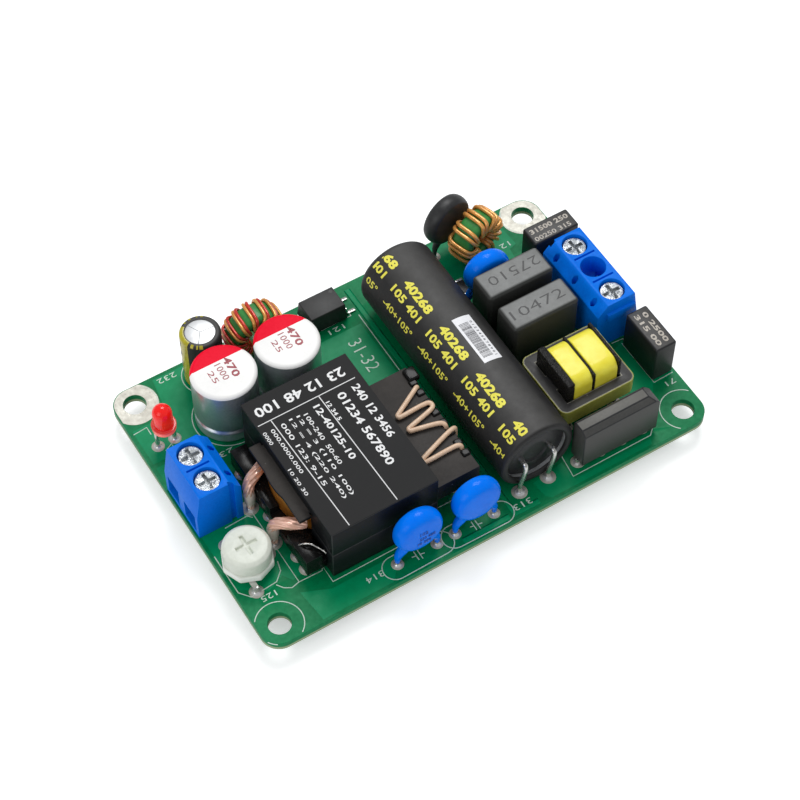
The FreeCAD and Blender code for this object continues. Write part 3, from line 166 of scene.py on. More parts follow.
def arcPoints(middle, height, radius, start, end, steps=6):
    turns = [math.radians(start + (end - start) * step / steps) for step in range(steps + 1)]
    return [(middle + radius * math.cos(turn), height + radius * math.sin(turn)) for turn in turns]


# Turned pieces stand on Z until tilt or swing lays them over.
def turnProfile(name, profile, centre, steps=96, tilt=0, swing=0, sweep=360, weldGap=1e-7):
    piece = newPiece(name, [(reach, 0, height) for reach, height in profile],
                     [(index, index + 1) for index in range(len(profile) - 1)])
    startEdit(piece)
    bpy.ops.mesh.spin(steps=steps, angle=math.radians(sweep), center=(0, 0, 0), axis=(0, 0, 1))
    bpy.ops.mesh.select_all(action="SELECT")
    bpy.ops.mesh.remove_doubles(threshold=weldGap)
    bpy.ops.mesh.normals_make_consistent(inside=False)
    settle()
    piece.rotation_euler = (math.radians(tilt), 0, math.radians(swing))
    piece.location = Vector(centre) * mm
    return settlePlace(piece)


stranding = {"sidesPerLobe": 5, "depth": 0.22, "sharpness": 4}


# A wire along points. Order 3 gives a smooth line, 2 straight runs. Radii scale it point by point, and a
# lobed section with a twist looks stranded.
def runWire(name, points, radius, order=3, sides=4, cyclic=False, radii=None, lobes=0, twist=0, fineness=4):
    curve = bpy.data.curves.new(name, "CURVE")
    curve.dimensions = "3D"
    line = curve.splines.new("NURBS" if order > 2 else "POLY")
    line.points.add(len(points) - 1)
    for index, (spot, goal) in enumerate(zip(line.points, points)):
        spot.co = (goal[0] * mm, goal[1] * mm, goal[2] * mm, 1)
        spot.radius = radii[index] if radii else 1
        spot.tilt = math.radians(twist) * index
    line.use_cyclic_u = cyclic
    if order > 2:
        line.order_u = order
        line.use_endpoint_u = not cyclic
        line.resolution_u = fineness
    curve.use_fill_caps = not cyclic
    if lobes:
        outline = bpy.data.curves.new(name + "Section", "CURVE")
        ring = outline.splines.new("POLY")
        count = lobes * stranding["sidesPerLobe"]
        ring.points.add(count - 1)
        for index, spot in enumerate(ring.points):
            turn = 2 * math.pi * index / count
            dip = stranding["depth"] * abs(math.sin(lobes * turn / 2)) ** stranding["sharpness"]
            reach = radius * mm * (1 - dip)
            spot.co = (reach * math.cos(turn), reach * math.sin(turn), 0, 1)
        ring.use_cyclic_u = True
        section = show(name + "Section", outline)
        curve.bevel_mode = "OBJECT"
        curve.bevel_object = section
    else:
        curve.bevel_depth = radius * mm
        curve.bevel_resolution = sides
    take(show(name, curve))
    bpy.ops.object.convert(target="MESH")
    piece = bpy.context.object
    if lobes:
        bpy.data.objects.remove(section)
    return piece


def fromFrame(node, name, weldGap=1e-6, flatAngle=0.8):
    piece = show(name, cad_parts[node].data.copy())
    startEdit(piece)
    bpy.ops.mesh.remove_doubles(threshold=weldGap)
    bpy.ops.mesh.dissolve_limited(angle_limit=math.radians(flatAngle))
    settle()
    return piece


def cutAway(piece, spot, normal, fill=True):
    startEdit(piece)
    bpy.ops.mesh.bisect(plane_co=Vector(spot) * mm, plane_no=normal, use_fill=fill, clear_outer=True)
    settle()
    return piece


# Boxes round the loose parts of a node, in millimetres
def partBoxes(node):
    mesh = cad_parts[node].data
    places = [tuple(round(value, 6) for value in vertex.co) for vertex in mesh.vertices]
    owner = {spot: spot for spot in places}

    def root(spot):
        while owner[spot] != spot:
            owner[spot] = owner[owner[spot]]
            spot = owner[spot]
        return spot

    for face in mesh.polygons:
        first = root(places[face.vertices[0]])
        for index in face.vertices[1:]:
            owner[root(places[index])] = first
            first = root(first)
    parts = {}
    for spot in owner:
        parts.setdefault(root(spot), []).append(spot)
    boxes = []
    for spots in parts.values():
        low = Vector([min(spot[axis] for spot in spots) for axis in range(3)]) / mm
        high = Vector([max(spot[axis] for spot in spots) for axis in range(3)]) / mm
        boxes.append((low, high))
    return sorted(boxes, key=lambda pair: (round(pair[0].x, 3), round(pair[0].y, 3)))


def boxOf(node):
    low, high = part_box(node)
    return low / mm, high / mm, (low + high) / 2 / mm


# Numbers as flat print, stretched to a length and a height
def flatMark(text, length, height, heavy=0, thickness=0.012):
    settle()
    bpy.ops.object.text_add()
    mark = bpy.context.object
    mark.data.body = text
    mark.data.offset = heavy
    mark.data.extrude = thickness * mm
    mark.data.resolution_u = 2
    bpy.ops.object.convert(target="MESH")
    mark = bpy.context.object
    across = [vertex.co.x for vertex in mark.data.vertices]
    upward = [vertex.co.y for vertex in mark.data.vertices]
    widen = length * mm / (max(across) - min(across))
    heighten = height * mm / (max(upward) - min(upward))
    mark.scale = (widen, heighten, 1)
    mark.location = (-min(across) * widen, -min(upward) * heighten, 0)
    return settlePlace(mark)


# Each entry is a text, the x and y of its foot, its turn in degrees, its length, height and boldness.
def printNumbers(name, entries, level):
    return joinAll(name, [place(flatMark(text, length, height, heavy), (x, y, level), turn)
                          for text, x, y, turn, length, height, heavy in entries])


def inkPath(points, width, level, closed=False, rise=0.03):
    line = runWire("ink", [(x, y, 0) for x, y in points], width / 2, order=2, sides=1, cyclic=closed)
    line.scale = (1, 1, 2 * rise / width)
    return place(line, (0, 0, level))


# Flat print whose x runs along -Y and whose y runs round an axis along Y, from the ridge towards +X
def wrapRound(piece, centre, radius, step=0.35):
    heights = [vertex.co.y / mm for vertex in piece.data.vertices]
    startEdit(piece)
    for index in range(math.ceil(min(heights) / step), math.floor(max(heights) / step) + 1):
        bpy.ops.mesh.select_all(action="SELECT")
        bpy.ops.mesh.bisect(plane_co=(0, index * step * mm, 0), plane_no=(0, 1, 0))
    settle()
    for vertex in piece.data.vertices:
        along, around, outward = vertex.co
        turn = around / (radius * mm)
        reach = radius * mm + outward
        vertex.co = (centre.x * mm + reach * math.sin(turn), -along, centre.z * mm + reach * math.cos(turn))
    return piece


finishes = {}


def dress(piece, finish, nodes=(), body="root", smooth=32, rim=None):
    take(piece)
    if smooth:
        bpy.ops.object.shade_smooth_by_angle(angle=math.radians(smooth))
    places = [face.material_index for face in piece.data.polygons]
    piece.data.materials.clear()
    piece.data.materials.append(finishes[finish])
    if rim:
        piece.data.materials.append(finishes[rim])
        for face, index in zip(piece.data.polygons, places):
            face.material_index = index
    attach(piece, body)
    if nodes:
        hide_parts(*nodes)
    return piece


# A node's own form with softened edges
def dressNode(node, name, edge, segments, finish, body="root", rim=None, smooth=32):
    piece = soften(fromFrame(node, name), edge, segments, rim=bool(rim))
    return dress(piece, finish, [node], body, smooth, rim)


# Shader groups that several finishes share
def newGroup(name, inputs, outputs):
    group = bpy.data.node_groups.new(name, "ShaderNodeTree")
    for label, kind, value in inputs:
        socket = group.interface.new_socket(name=label, in_out="INPUT", socket_type="NodeSocket" + kind)
        if value is not None:
            socket.default_value = value
    for label, kind in outputs:
        group.interface.new_socket(name=label, in_out="OUTPUT", socket_type="NodeSocket" + kind)
    return group, group.nodes.new("NodeGroupInput"), group.nodes.new("NodeGroupOutput")


def put(tree, kind, values=None, **settings):
    node = tree.nodes.new("ShaderNode" + kind)
    for key, value in settings.items():
        setattr(node, key, value)
    for key, value in (values or {}).items():
        node.inputs[key].default_value = value
    return node


def putGroup(tree, group, values):
    node = tree.nodes.new("ShaderNodeGroup")
    node.node_tree = group
    for key, value in values.items():
        node.inputs[key].default_value = value
    return node


# Each route is a node, its output, the next node and its input.
def wire(tree, *routes):
    for start, output, end, entry in routes:
        tree.links.new(start.outputs[output], end.inputs[entry])


# A colour is three numbers, or one for a grey.
def paint(colour):
    return (*colour, 1) if isinstance(colour, tuple) else (colour, colour, colour, 1)


# Grain mixes two colours by a fine and a coarse noise.
grain, grainIn, grainOut = newGroup(
    "grain", [("Vector", "Vector", None), ("Scale", "Float", 3000), ("Colour", "Color", None),
              ("Shade", "Color", None)], [("Colour", "Color"), ("Value", "Float")])
fineNoise = put(grain, "TexNoise", {"Detail": 5, "Roughness": 0.6})
coarseNoise = put(grain, "TexNoise", {"Detail": 2})
coarseScale = put(grain, "Math", {1: 0.06}, operation="MULTIPLY")
grainSum = put(grain, "Mix", {"Factor": 0.4}, data_type="FLOAT")
grainSpread = put(grain, "MapRange", {"From Min": 0.36, "From Max": 0.64})
grainMix = put(grain, "Mix", data_type="RGBA")
wire(grain, (grainIn, "Vector", fineNoise, "Vector"), (grainIn, "Vector", coarseNoise, "Vector"),
     (grainIn, "Scale", fineNoise, "Scale"), (grainIn, "Scale", coarseScale, 0),
     (coarseScale, 0, coarseNoise, "Scale"), (fineNoise, "Fac", grainSum, "A"),
     (coarseNoise, "Fac", grainSum, "B"), (grainSum, "Result", grainSpread, "Value"),
     (grainSpread, "Result", grainMix, "Factor"), (grainIn, "Colour", grainMix, 6),
     (grainIn, "Shade", grainMix, 7), (grainMix, 2, grainOut, "Colour"),
     (grainSpread, "Result", grainOut, "Value"))

# Specks are scattered round spots of dust or pits.
specks, specksIn, specksOut = newGroup(
    "specks", [("Vector", "Vector", None), ("Scale", "Float", 900), ("Amount", "Float", 0.1)],
    [("Mask", "Float")])
speckCells = put(specks, "TexVoronoi", {"Randomness": 1})
speckEdge = put(specks, "MapRange", {"From Min": 0.22, "From Max": 0.1})
speckPick = put(specks, "SeparateColor")
speckKeep = put(specks, "Math", operation="LESS_THAN")
speckMask = put(specks, "Math", operation="MULTIPLY")
wire(specks, (specksIn, "Vector", speckCells, "Vector"), (specksIn, "Scale", speckCells, "Scale"),
     (speckCells, "Distance", speckEdge, "Value"), (speckCells, "Color", speckPick, 0),
     (speckPick, 0, speckKeep, 0), (specksIn, "Amount", speckKeep, 1), (speckEdge, "Result", speckMask, 0),
     (speckKeep, 0, speckMask, 1), (speckMask, 0, specksOut, "Mask"))

# Streaks are noise drawn out along one direction by a stretch vector.
streaks, streaksIn, streaksOut = newGroup(
    "streaks", [("Vector", "Vector", None), ("Stretch", "Vector", None)], [("Value", "Float")])
streakScale = put(streaks, "VectorMath", operation="MULTIPLY")
streakNoise = put(streaks, "TexNoise", {"Scale": 1, "Detail": 4, "Roughness": 0.65})
wire(streaks, (streaksIn, "Vector", streakScale, 0), (streaksIn, "Stretch", streakScale, 1),
     (streakScale, 0, streakNoise, "Vector"), (streakNoise, "Fac", streaksOut, "Value"))

# Painted top light: a paler colour where a surface faces up, broken by noise, standing in for the light
# that falls on tops.
paintedTopLight, paintedTopLightIn, paintedTopLightOut = newGroup(
    "paintedTopLight", [("Vector", "Vector", None), ("Colour", "Color", None), ("TopLightColour", "Color", None),
             ("Amount", "Float", 0.5)], [("Colour", "Color")])
paintedTopLightSide = put(paintedTopLight, "NewGeometry")
paintedTopLightParts = put(paintedTopLight, "SeparateXYZ")
paintedTopLightRamp = put(paintedTopLight, "MapRange", {"From Min": 0.75, "From Max": 0.98})
paintedTopLightNoise = put(paintedTopLight, "TexNoise", {"Scale": 420, "Detail": 4, "Roughness": 0.7})
paintedTopLightRange = put(paintedTopLight, "MapRange", {"From Min": 0.3, "From Max": 0.7, "To Min": 0.65, "To Max": 1})
paintedTopLightTimes = put(paintedTopLight, "Math", operation="MULTIPLY")
paintedTopLightShare = put(paintedTopLight, "Math", operation="MULTIPLY")
paintedTopLightMix = put(paintedTopLight, "Mix", data_type="RGBA")
wire(paintedTopLight, (paintedTopLightSide, "Normal", paintedTopLightParts, 0), (paintedTopLightParts, "Z", paintedTopLightRamp, "Value"),
     (paintedTopLightIn, "Vector", paintedTopLightNoise, "Vector"), (paintedTopLightNoise, "Fac", paintedTopLightRange, "Value"),
     (paintedTopLightRamp, "Result", paintedTopLightTimes, 0), (paintedTopLightRange, "Result", paintedTopLightTimes, 1), (paintedTopLightTimes, 0, paintedTopLightShare, 0),
     (paintedTopLightIn, "Amount", paintedTopLightShare, 1), (paintedTopLightShare, 0, paintedTopLightMix, "Factor"), (paintedTopLightIn, "Colour", paintedTopLightMix, 6),
     (paintedTopLightIn, "TopLightColour", paintedTopLightMix, 7), (paintedTopLightMix, 2, paintedTopLightOut, "Colour"))

# Layer blends to a second colour between two heights, given in metres.
layer, layerIn, layerOut = newGroup(
    "layer", [("Vector", "Vector", None), ("Colour", "Color", None), ("Other", "Color", None),
              ("Start", "Float", 0), ("End", "Float", 0.001)], [("Colour", "Color")])
layerParts = put(layer, "SeparateXYZ")
layerRamp = put(layer, "MapRange")
layerMix = put(layer, "Mix", data_type="RGBA")
wire(layer, (layerIn, "Vector", layerParts, 0), (layerParts, "Z", layerRamp, "Value"),
     (layerIn, "Start", layerRamp, "From Min"), (layerIn, "End", layerRamp, "From Max"),
     (layerRamp, "Result", layerMix, "Factor"), (layerIn, "Colour", layerMix, 6),
     (layerIn, "Other", layerMix, 7), (layerMix, 2, layerOut, "Colour"))
print("shader groups ready")


# Each band is a colour with its start and end height in millimetres, film is the colour of a painted top
# light on up-facing sides with its amount, and glow a colour with its strength.
def surface(name, colour, shade, rough, scale=2500, bump=0.15, depth=0.02, metal=0, coat=0, specular=0.5,
            speckAmount=0, speckScale=900, speckColour=0.6, stretch=None, through=0, glow=None, bands=(),
            film=None):
    material = bpy.data.materials.new(name)
    material.use_nodes = True
    tree = material.node_tree
    shader = tree.nodes["Principled BSDF"]
    coordinates = put(tree, "TexCoord")

    def stage(group, values, before=None):
        node = putGroup(tree, group, values)
        wire(tree, (coordinates, "Object", node, "Vector"))
        if before:
            wire(tree, (*before, node, "Colour"))
        return node

    colours = stage(grain, {"Scale": scale, "Colour": paint(colour), "Shade": paint(shade)})
    last, height = (colours, "Colour"), (colours, "Value")
    if speckAmount:
        spots = stage(specks, {"Scale": speckScale, "Amount": speckAmount})
        speckMix = put(tree, "Mix", {7: paint(speckColour)}, data_type="RGBA")
        wire(tree, (spots, "Mask", speckMix, "Factor"), (*last, speckMix, 6))
        last = (speckMix, 2)
    # Painted top light: up-facing sides are paled towards the film colour.
    if film:
        last = (stage(paintedTopLight, {"TopLightColour": paint(film[0]), "Amount": film[1]}, last), "Colour")
    for other, start, end in bands:
        last = (stage(layer, {"Other": paint(other), "Start": start * mm, "End": end * mm}, last), "Colour")
    if stretch:
        height = (stage(streaks, {"Stretch": stretch}), "Value")
    roughness = put(tree, "MapRange", {"To Min": rough[0], "To Max": rough[1]})
    relief = put(tree, "Bump", {"Strength": bump, "Distance": depth * mm})
    wire(tree, (*height, roughness, "Value"), (*height, relief, "Height"), (*last, shader, "Base Color"),
         (roughness, "Result", shader, "Roughness"), (relief, "Normal", shader, "Normal"))
    values = {"Metallic": metal, "Coat Weight": coat, "Specular IOR Level": specular,
              "Transmission Weight": through}
    if glow:
        values.update({"Emission Color": paint(glow[0]), "Emission Strength": glow[1]})
    for key, value in values.items():
        shader.inputs[key].default_value = value
    finishes[name] = material


# Camera at the photograph's viewpoint, from a fit to the board's corners and holes
cameraFit = {"azimuth": -0.548573973, "elevation": 0.967875253, "roll": -0.00254667,
             "focalPixels": 2232.966, "framePixels": 800, "place": (-0.10022, -0.16151, 0.27956),
             "sensor": 36, "nearest": 0.01}
cameraData = bpy.data.cameras.new("photoCamera")
cameraData.sensor_width = cameraFit["sensor"]
cameraData.lens = cameraFit["focalPixels"] * cameraFit["sensor"] / cameraFit["framePixels"]
cameraData.clip_start = cameraFit["nearest"]
camera = show("photoCamera", cameraData)
cameraTurn = (Matrix.Rotation(cameraFit["azimuth"], 3, "Z")
              @ Matrix.Rotation(math.pi / 2 - cameraFit["elevation"], 3, "X")
              @ Matrix.Rotation(cameraFit["roll"], 3, "Z"))
camera.matrix_world = Matrix.Translation(cameraFit["place"]) @ cameraTurn.to_4x4()
bpy.context.scene.camera = camera

# Pale floor under the soldered side, one soft light above and behind, a weaker one in front
studio = {"floorGap": 0.00005, "floorSize": 6, "floorColour": 0.9, "floorRough": 0.9, "floorGlow": 0.42,
          "worldColour": (0.96, 0.98, 1), "worldLight": 0.6, "mirrorLight": 0.34, "white": 1}
lamps = (("keyLight", (0.22, 0.3, 0.62), 2.3, 0.34), ("fillLight", (-0.58, -0.16, 0.36), 0.9, 0.4))
scene = bpy.context.scene
scene.view_settings.view_transform = "Standard"
settle()
bpy.ops.mesh.primitive_plane_add(size=studio["floorSize"],
                                 location=(0, 0, cadBox[0][2] - studio["floorGap"]))
floor = bpy.context.object
floor.name = "studioFloor"
settlePlace(floor)
floorPaint = bpy.data.materials.new("floorPaint")
floorPaint.use_nodes = True
floorTree = floorPaint.node_tree
floorShader = floorTree.nodes["Principled BSDF"]
floorShader.inputs["Base Color"].default_value = paint(studio["floorColour"])
floorShader.inputs["Roughness"].default_value = studio["floorRough"]
floorLift = put(floorTree, "Emission", {"Color": paint(studio["white"]), "Strength": studio["floorGlow"]})
floorAdd = put(floorTree, "AddShader")
floorSwitch = put(floorTree, "MixShader")
floorRay = put(floorTree, "LightPath")
wire(floorTree, (floorShader, 0, floorAdd, 0), (floorLift, 0, floorAdd, 1),
     (floorRay, "Is Camera Ray", floorSwitch, 0), (floorShader, 0, floorSwitch, 1),
     (floorAdd, 0, floorSwitch, 2), (floorSwitch, 0, floorTree.nodes["Material Output"], "Surface"))
floor.data.materials.append(floorPaint)

world = bpy.data.worlds.new("studioWorld")
scene.world = world
world.use_nodes = True
sky = world.node_tree
lit = sky.nodes["Background"]
lit.inputs["Color"].default_value = paint(studio["worldColour"])
lit.inputs["Strength"].default_value = studio["worldLight"]
seen = put(sky, "Background", {"Color": paint(studio["white"]), "Strength": 1})
mirrored = put(sky, "Background", {"Color": paint(studio["worldColour"]),
                                   "Strength": studio["mirrorLight"]})
mirrorSwitch = put(sky, "MixShader")
skySwitch = put(sky, "MixShader")
skyRay = put(sky, "LightPath")
wire(sky, (skyRay, "Is Camera Ray", skySwitch, 0), (skyRay, "Is Glossy Ray", mirrorSwitch, 0),
     (lit, 0, mirrorSwitch, 1), (mirrored, 0, mirrorSwitch, 2), (mirrorSwitch, 0, skySwitch, 1),
     (seen, 0, skySwitch, 2), (skySwitch, 0, sky.nodes["World Output"], "Surface"))
for name, spot, power, size in lamps:
    lamp = bpy.data.lights.new(name, "AREA")
    lamp.energy = power
    lamp.size = size
    holder = show(name, lamp)
    holder.location = spot
    holder.rotation_euler = (-Vector(spot)).to_track_quat("-Z", "Y").to_euler()
print("camera and studio ready")

# Finishes. A film entry paints top light: a paler colour on the up-facing sides.
surface("boardGreen", (0, 0.235, 0.082), (0, 0.175, 0.06), (0.28, 0.4), scale=1300, bump=0.06, specular=0.1,
        bands=(((0.33, 0.41, 0.24), 0.7, 0.55), ((0, 0.16, 0.06), 0.07, 0.04)))
surface("maskGreen", (0, 0.3, 0.118), (0, 0.25, 0.095), (0.26, 0.38), scale=900, bump=0.06, specular=0.1)
surface("inkWhite", (0.74, 0.84, 0.76), (0.5, 0.66, 0.56), (0.5, 0.7), scale=9000, bump=0.2)
surface("tinPlate", (0.6, 0.59, 0.52), (0.45, 0.43, 0.37), (0.3, 0.5), scale=1500, bump=0.4, depth=0.03,
        metal=0.3, speckAmount=0.4, speckScale=1300, speckColour=(0.42, 0.4, 0.36))
surface("solderBright", (0.92, 0.92, 0.9), (0.72, 0.72, 0.7), (0.14, 0.26), scale=1100, bump=0.4,
        depth=0.04, metal=0.6)
surface("wireTin", (0.84, 0.83, 0.8), (0.64, 0.63, 0.6), (0.12, 0.26), scale=3000, bump=0.2, metal=0.92)
surface("terminalBlue", (0, 0.185, 0.84), (0, 0.15, 0.74), (0.32, 0.44), scale=2600, bump=0.12,
        specular=0.08)
# Lighter blue on the housing's bevelled edges: a painted edge highlight.
surface("terminalEdgeHighlight", (0.01, 0.25, 0.92), (0, 0.2, 0.82), (0.28, 0.4), scale=2600, bump=0.1, specular=0.1)
surface("contactMetal", (0.62, 0.58, 0.46), (0.48, 0.44, 0.33), (0.25, 0.4), metal=0.95)
surface("screwSteel", (0.8, 0.83, 0.84), (0.26, 0.28, 0.29), (0.16, 0.42), scale=1500, bump=0.9, depth=0.12,
        metal=0.8)
surface("guardSteel", (0.7, 0.7, 0.68), (0.52, 0.52, 0.5), (0.2, 0.36), metal=0.95)
surface("trimmerWhite", (0.76, 0.79, 0.7), (0.68, 0.71, 0.62), (0.3, 0.42), scale=1500, bump=0.12,
        depth=0.03, specular=0.4, bands=(((0.86, 0.88, 0.82), 4.3, 4),))
surface("ledRed", (0.8, 0.012, 0.01), (0.7, 0.008, 0.008), (0.08, 0.14), scale=1200, bump=0.03, through=0.3,
        glow=((0.95, 0.015, 0.01), 0.28),
        bands=(((0.3, 0.004, 0.004), 8.5, 7.3), ((0.86, 0.44, 0.38), 6.7, 6.1)))
surface("canAluminium", (0.62, 0.67, 0.7), (0.5, 0.55, 0.58), (0.24, 0.36), metal=0.75, bump=0.12,
        stretch=(90, 90, 6000))
surface("topWhite", (0.94, 0.93, 0.91), (0.9, 0.89, 0.87), (0.35, 0.5), scale=3500, bump=0.1)
surface("topRed", (0.9, 0.003, 0.03), (0.82, 0.002, 0.024), (0.38, 0.5), scale=3500, bump=0.1,
        specular=0.08)
surface("printMaroon", (0.34, 0.05, 0.07), (0.45, 0.12, 0.13), (0.5, 0.6), scale=9000)
surface("ventSilver", (0.78, 0.79, 0.8), (0.66, 0.67, 0.68), (0.3, 0.42), scale=1500, bump=0.2, metal=0.5)
surface("ventGrooveShade", (0.3, 0.31, 0.32), (0.22, 0.23, 0.24), (0.4, 0.5), metal=0.4)
surface("stripeGold", (0.5, 0.44, 0.02), (0.36, 0.31, 0.012), (0.18, 0.3), scale=1500, coat=0.3)
surface("sleeveBlack", 0.016, (0.024, 0.023, 0.023), (0.46, 0.58), scale=700, bump=0.22, depth=0.1,
        specular=0.35, film=((0.105, 0.102, 0.098), 0.55))
surface("printYellow", (0.92, 0.86, 0.12), (0.8, 0.72, 0.07), (0.4, 0.55), scale=6000)
surface("sealRubber", (0.012, 0.012, 0.013), (0.024, 0.024, 0.026), (0.4, 0.6), scale=2600, bump=0.3,
        depth=0.05)
surface("stickerWhite", (0.9, 0.9, 0.92), (0.82, 0.82, 0.85), (0.4, 0.55), scale=3000)
surface("stickerBlack", (0.06, 0.06, 0.07), (0.12, 0.12, 0.13), (0.5, 0.6), scale=9000)
surface("ferriteGrey", (0.026, 0.026, 0.028), (0.042, 0.041, 0.043), (0.42, 0.58), scale=3200, bump=0.45,
        depth=0.03, specular=0.4, speckAmount=0.05, speckScale=1300, speckColour=(0.18, 0.18, 0.17),
        film=((0.055, 0.052, 0.048), 0.5))
surface("ferriteEdge", (0.4, 0.39, 0.32), (0.22, 0.21, 0.18), (0.45, 0.6), scale=3500, bump=0.4)
surface("coreBlack", (0.005, 0.006, 0.007), (0.009, 0.01, 0.012), (0.36, 0.5), scale=2600, bump=0.3,
        specular=0.14)
# Bevelled edges of the black cores, bobbin, bar and deck, a little lighter than their black: a painted edge
# highlight. On the fuses it matches their sides, and on the grey bridge it is darker.
surface("coreEdge", (0.013, 0.014, 0.016), (0.022, 0.022, 0.024), (0.4, 0.55), scale=2600)
surface("labelFilm", (0.02, 0.02, 0.0205), (0.024, 0.024, 0.0245), (0.44, 0.54), scale=1800, bump=0.05,
        specular=0.09)
surface("printWhite", 0.88, 0.78, (0.45, 0.6), scale=9000)
surface("mouldBlack", 0.005, 0.009, (0.16, 0.24), scale=2200, bump=0.1, depth=0.02, specular=0.2,
        speckAmount=0.04, speckScale=1100, speckColour=(0.12, 0.12, 0.11))
surface("deckGrey", (0.01, 0.01, 0.011), (0.016, 0.015, 0.015), (0.44, 0.56), scale=2800, bump=0.4,
        depth=0.03, specular=0.16, speckAmount=0.1, speckScale=1500, speckColour=(0.2, 0.2, 0.19),
        film=((0.056, 0.05, 0.046), 0.95))
surface("chipGrey", 0.022, (0.032, 0.032, 0.031), (0.38, 0.52), scale=3000, bump=0.25, specular=0.3,
        film=(0.075, 0.6))
surface("lacquerBlack", 0.003, (0.008, 0.007, 0.006), (0.14, 0.45), scale=1300, bump=0.9, depth=0.2,
        specular=0.35)
surface("coilYellow", (0.97, 0.9, 0.1), (0.88, 0.76, 0.045), (0.22, 0.36), scale=520, bump=0.5, depth=0.14,
        coat=0.15, specular=0.35, speckAmount=0.04, speckScale=900, speckColour=(0.62, 0.48, 0.02))
surface("tapeOlive", (0.6, 0.59, 0.12), (0.46, 0.45, 0.08), (0.24, 0.4), scale=700, bump=0.5, depth=0.1,
        coat=0.15, speckAmount=0.1, speckScale=700, speckColour=(0.66, 0.64, 0.3))
surface("copperWire", (0.9, 0.44, 0.12), (0.74, 0.3, 0.06), (0.16, 0.28), scale=1300, bump=0.12, metal=0.35,
        coat=0.4)
surface("redWire", (0.78, 0.055, 0.028), (0.46, 0.022, 0.012), (0.18, 0.3), scale=1300, bump=0.12,
        metal=0.25, coat=0.5)
surface("varnishCopper", (0.62, 0.24, 0.03), (0.4, 0.13, 0.015), (0.2, 0.4), bump=0.6, depth=0.08,
        metal=0.4, coat=0.4, stretch=(120, 120, 3500))
surface("litzCopper", (0.94, 0.6, 0.48), (0.74, 0.36, 0.25), (0.16, 0.3), scale=900, bump=0.2, metal=0.35,
        coat=0.5)
surface("litzWrap", (0.78, 0.68, 0.62), (0.6, 0.48, 0.42), (0.2, 0.35), scale=900, bump=0.3, coat=0.4)
surface("wireTan", (0.78, 0.56, 0.4), (0.66, 0.44, 0.29), (0.34, 0.46), scale=1500, bump=0.15, coat=0.1)
surface("ringGreen", (0.05, 0.3, 0.065), (0.035, 0.21, 0.045), (0.3, 0.42), scale=1500, bump=0.2, coat=0.15,
        specular=0.35)
surface("boxGrey", (0.032, 0.033, 0.03), (0.042, 0.043, 0.04), (0.4, 0.52), scale=3500, bump=0.35,
        depth=0.02, specular=0.4, film=((0.235, 0.24, 0.236), 0.95))
surface("boxEngrave", 0.05, 0.08, (0.5, 0.6), scale=3500)
surface("fuseBlack", (0.014, 0.013, 0.013), (0.022, 0.021, 0.021), (0.36, 0.5), scale=3500, bump=0.3,
        depth=0.02, specular=0.4, film=((0.06, 0.057, 0.054), 0.7))
surface("slabGrey", (0.05, 0.05, 0.047), (0.066, 0.065, 0.062), (0.4, 0.55), scale=3000, bump=0.4,
        depth=0.03, specular=0.4, film=((0.135, 0.13, 0.115), 0.8))
surface("printPale", (0.6, 0.55, 0.48), (0.4, 0.36, 0.31), (0.5, 0.65), scale=5000)
surface("discBlue", (0, 0.2, 0.98), (0, 0.17, 0.9), (0.12, 0.2), scale=700, bump=0.12, depth=0.08,
        specular=0.12)
surface("printFaint", (0, 0.05, 0.3), (0, 0.07, 0.4), (0.4, 0.5), scale=5000)
surface("discBlack", (0.022, 0.022, 0.023), 0.034, (0.38, 0.5), scale=1200, bump=0.35, depth=0.05,
        specular=0.4)
surface("chipDark", (0.02, 0.019, 0.018), (0.032, 0.03, 0.028), (0.36, 0.5), scale=3500)
surface("chipTan", (0.3, 0.2, 0.11), (0.22, 0.14, 0.08), (0.36, 0.5), scale=3500)
print("finishes ready")

boardHigh = boxOf("circuit_board")[1]
top = boardHigh.z

# Circuit board with raised copper under its green mask
boardLook = {"edge": 0.06, "areaRise": 0.018, "traceWidth": 1.1, "traceRise": 0.024}
dressNode("circuit_board", "circuitBoard", boardLook["edge"], 1, "boardGreen")


def flatArea(points, level):
    area = newPiece("area", [(x, y, level) for x, y in points], faces=[tuple(range(len(points)))])
    return thicken(area, 2 * boardLook["areaRise"])


copperAreas = [
    [(-37.6, 17.8), (-31.6, 17.8), (-30.6, 24.6), (-7.4, 24.6), (-6.6, 17.2), (1.9, 17.2), (1.9, 6.2),
     (-5.2, 6.2), (-7.2, 8.8), (-29.4, 8.8), (-29.8, 11), (-37.6, 11)],
    [(-37.6, 10.2), (-30.4, 10.2), (-30.4, -3.4), (-26.2, -4.6), (-26.2, -16.2), (-29.8, -16.9),
     (-30.8, -15.4), (-33.6, -16.6), (-37.6, -14)],
    [(-30, -19.2), (-25.8, -21), (-14.2, -21), (-17.8, -24.7), (-29.4, -24.7)],
    [(8.5, -21.2), (8.8, -24.1), (9.6, -24.7), (27.4, -24.7), (27.8, -23.8), (14.2, -23.8), (14, -20.4)],
    [(29.8, -17.2), (32.6, -17.6), (33.8, -15.9), (37.7, -15.9), (37.7, -7), (34.3, -6.8), (30.6, -8.2)],
    [(15.8, 24.7), (16.2, 14.2), (29.2, 14.6), (29.6, 17.4), (31, 17.8), (30.6, 24.7)],
]
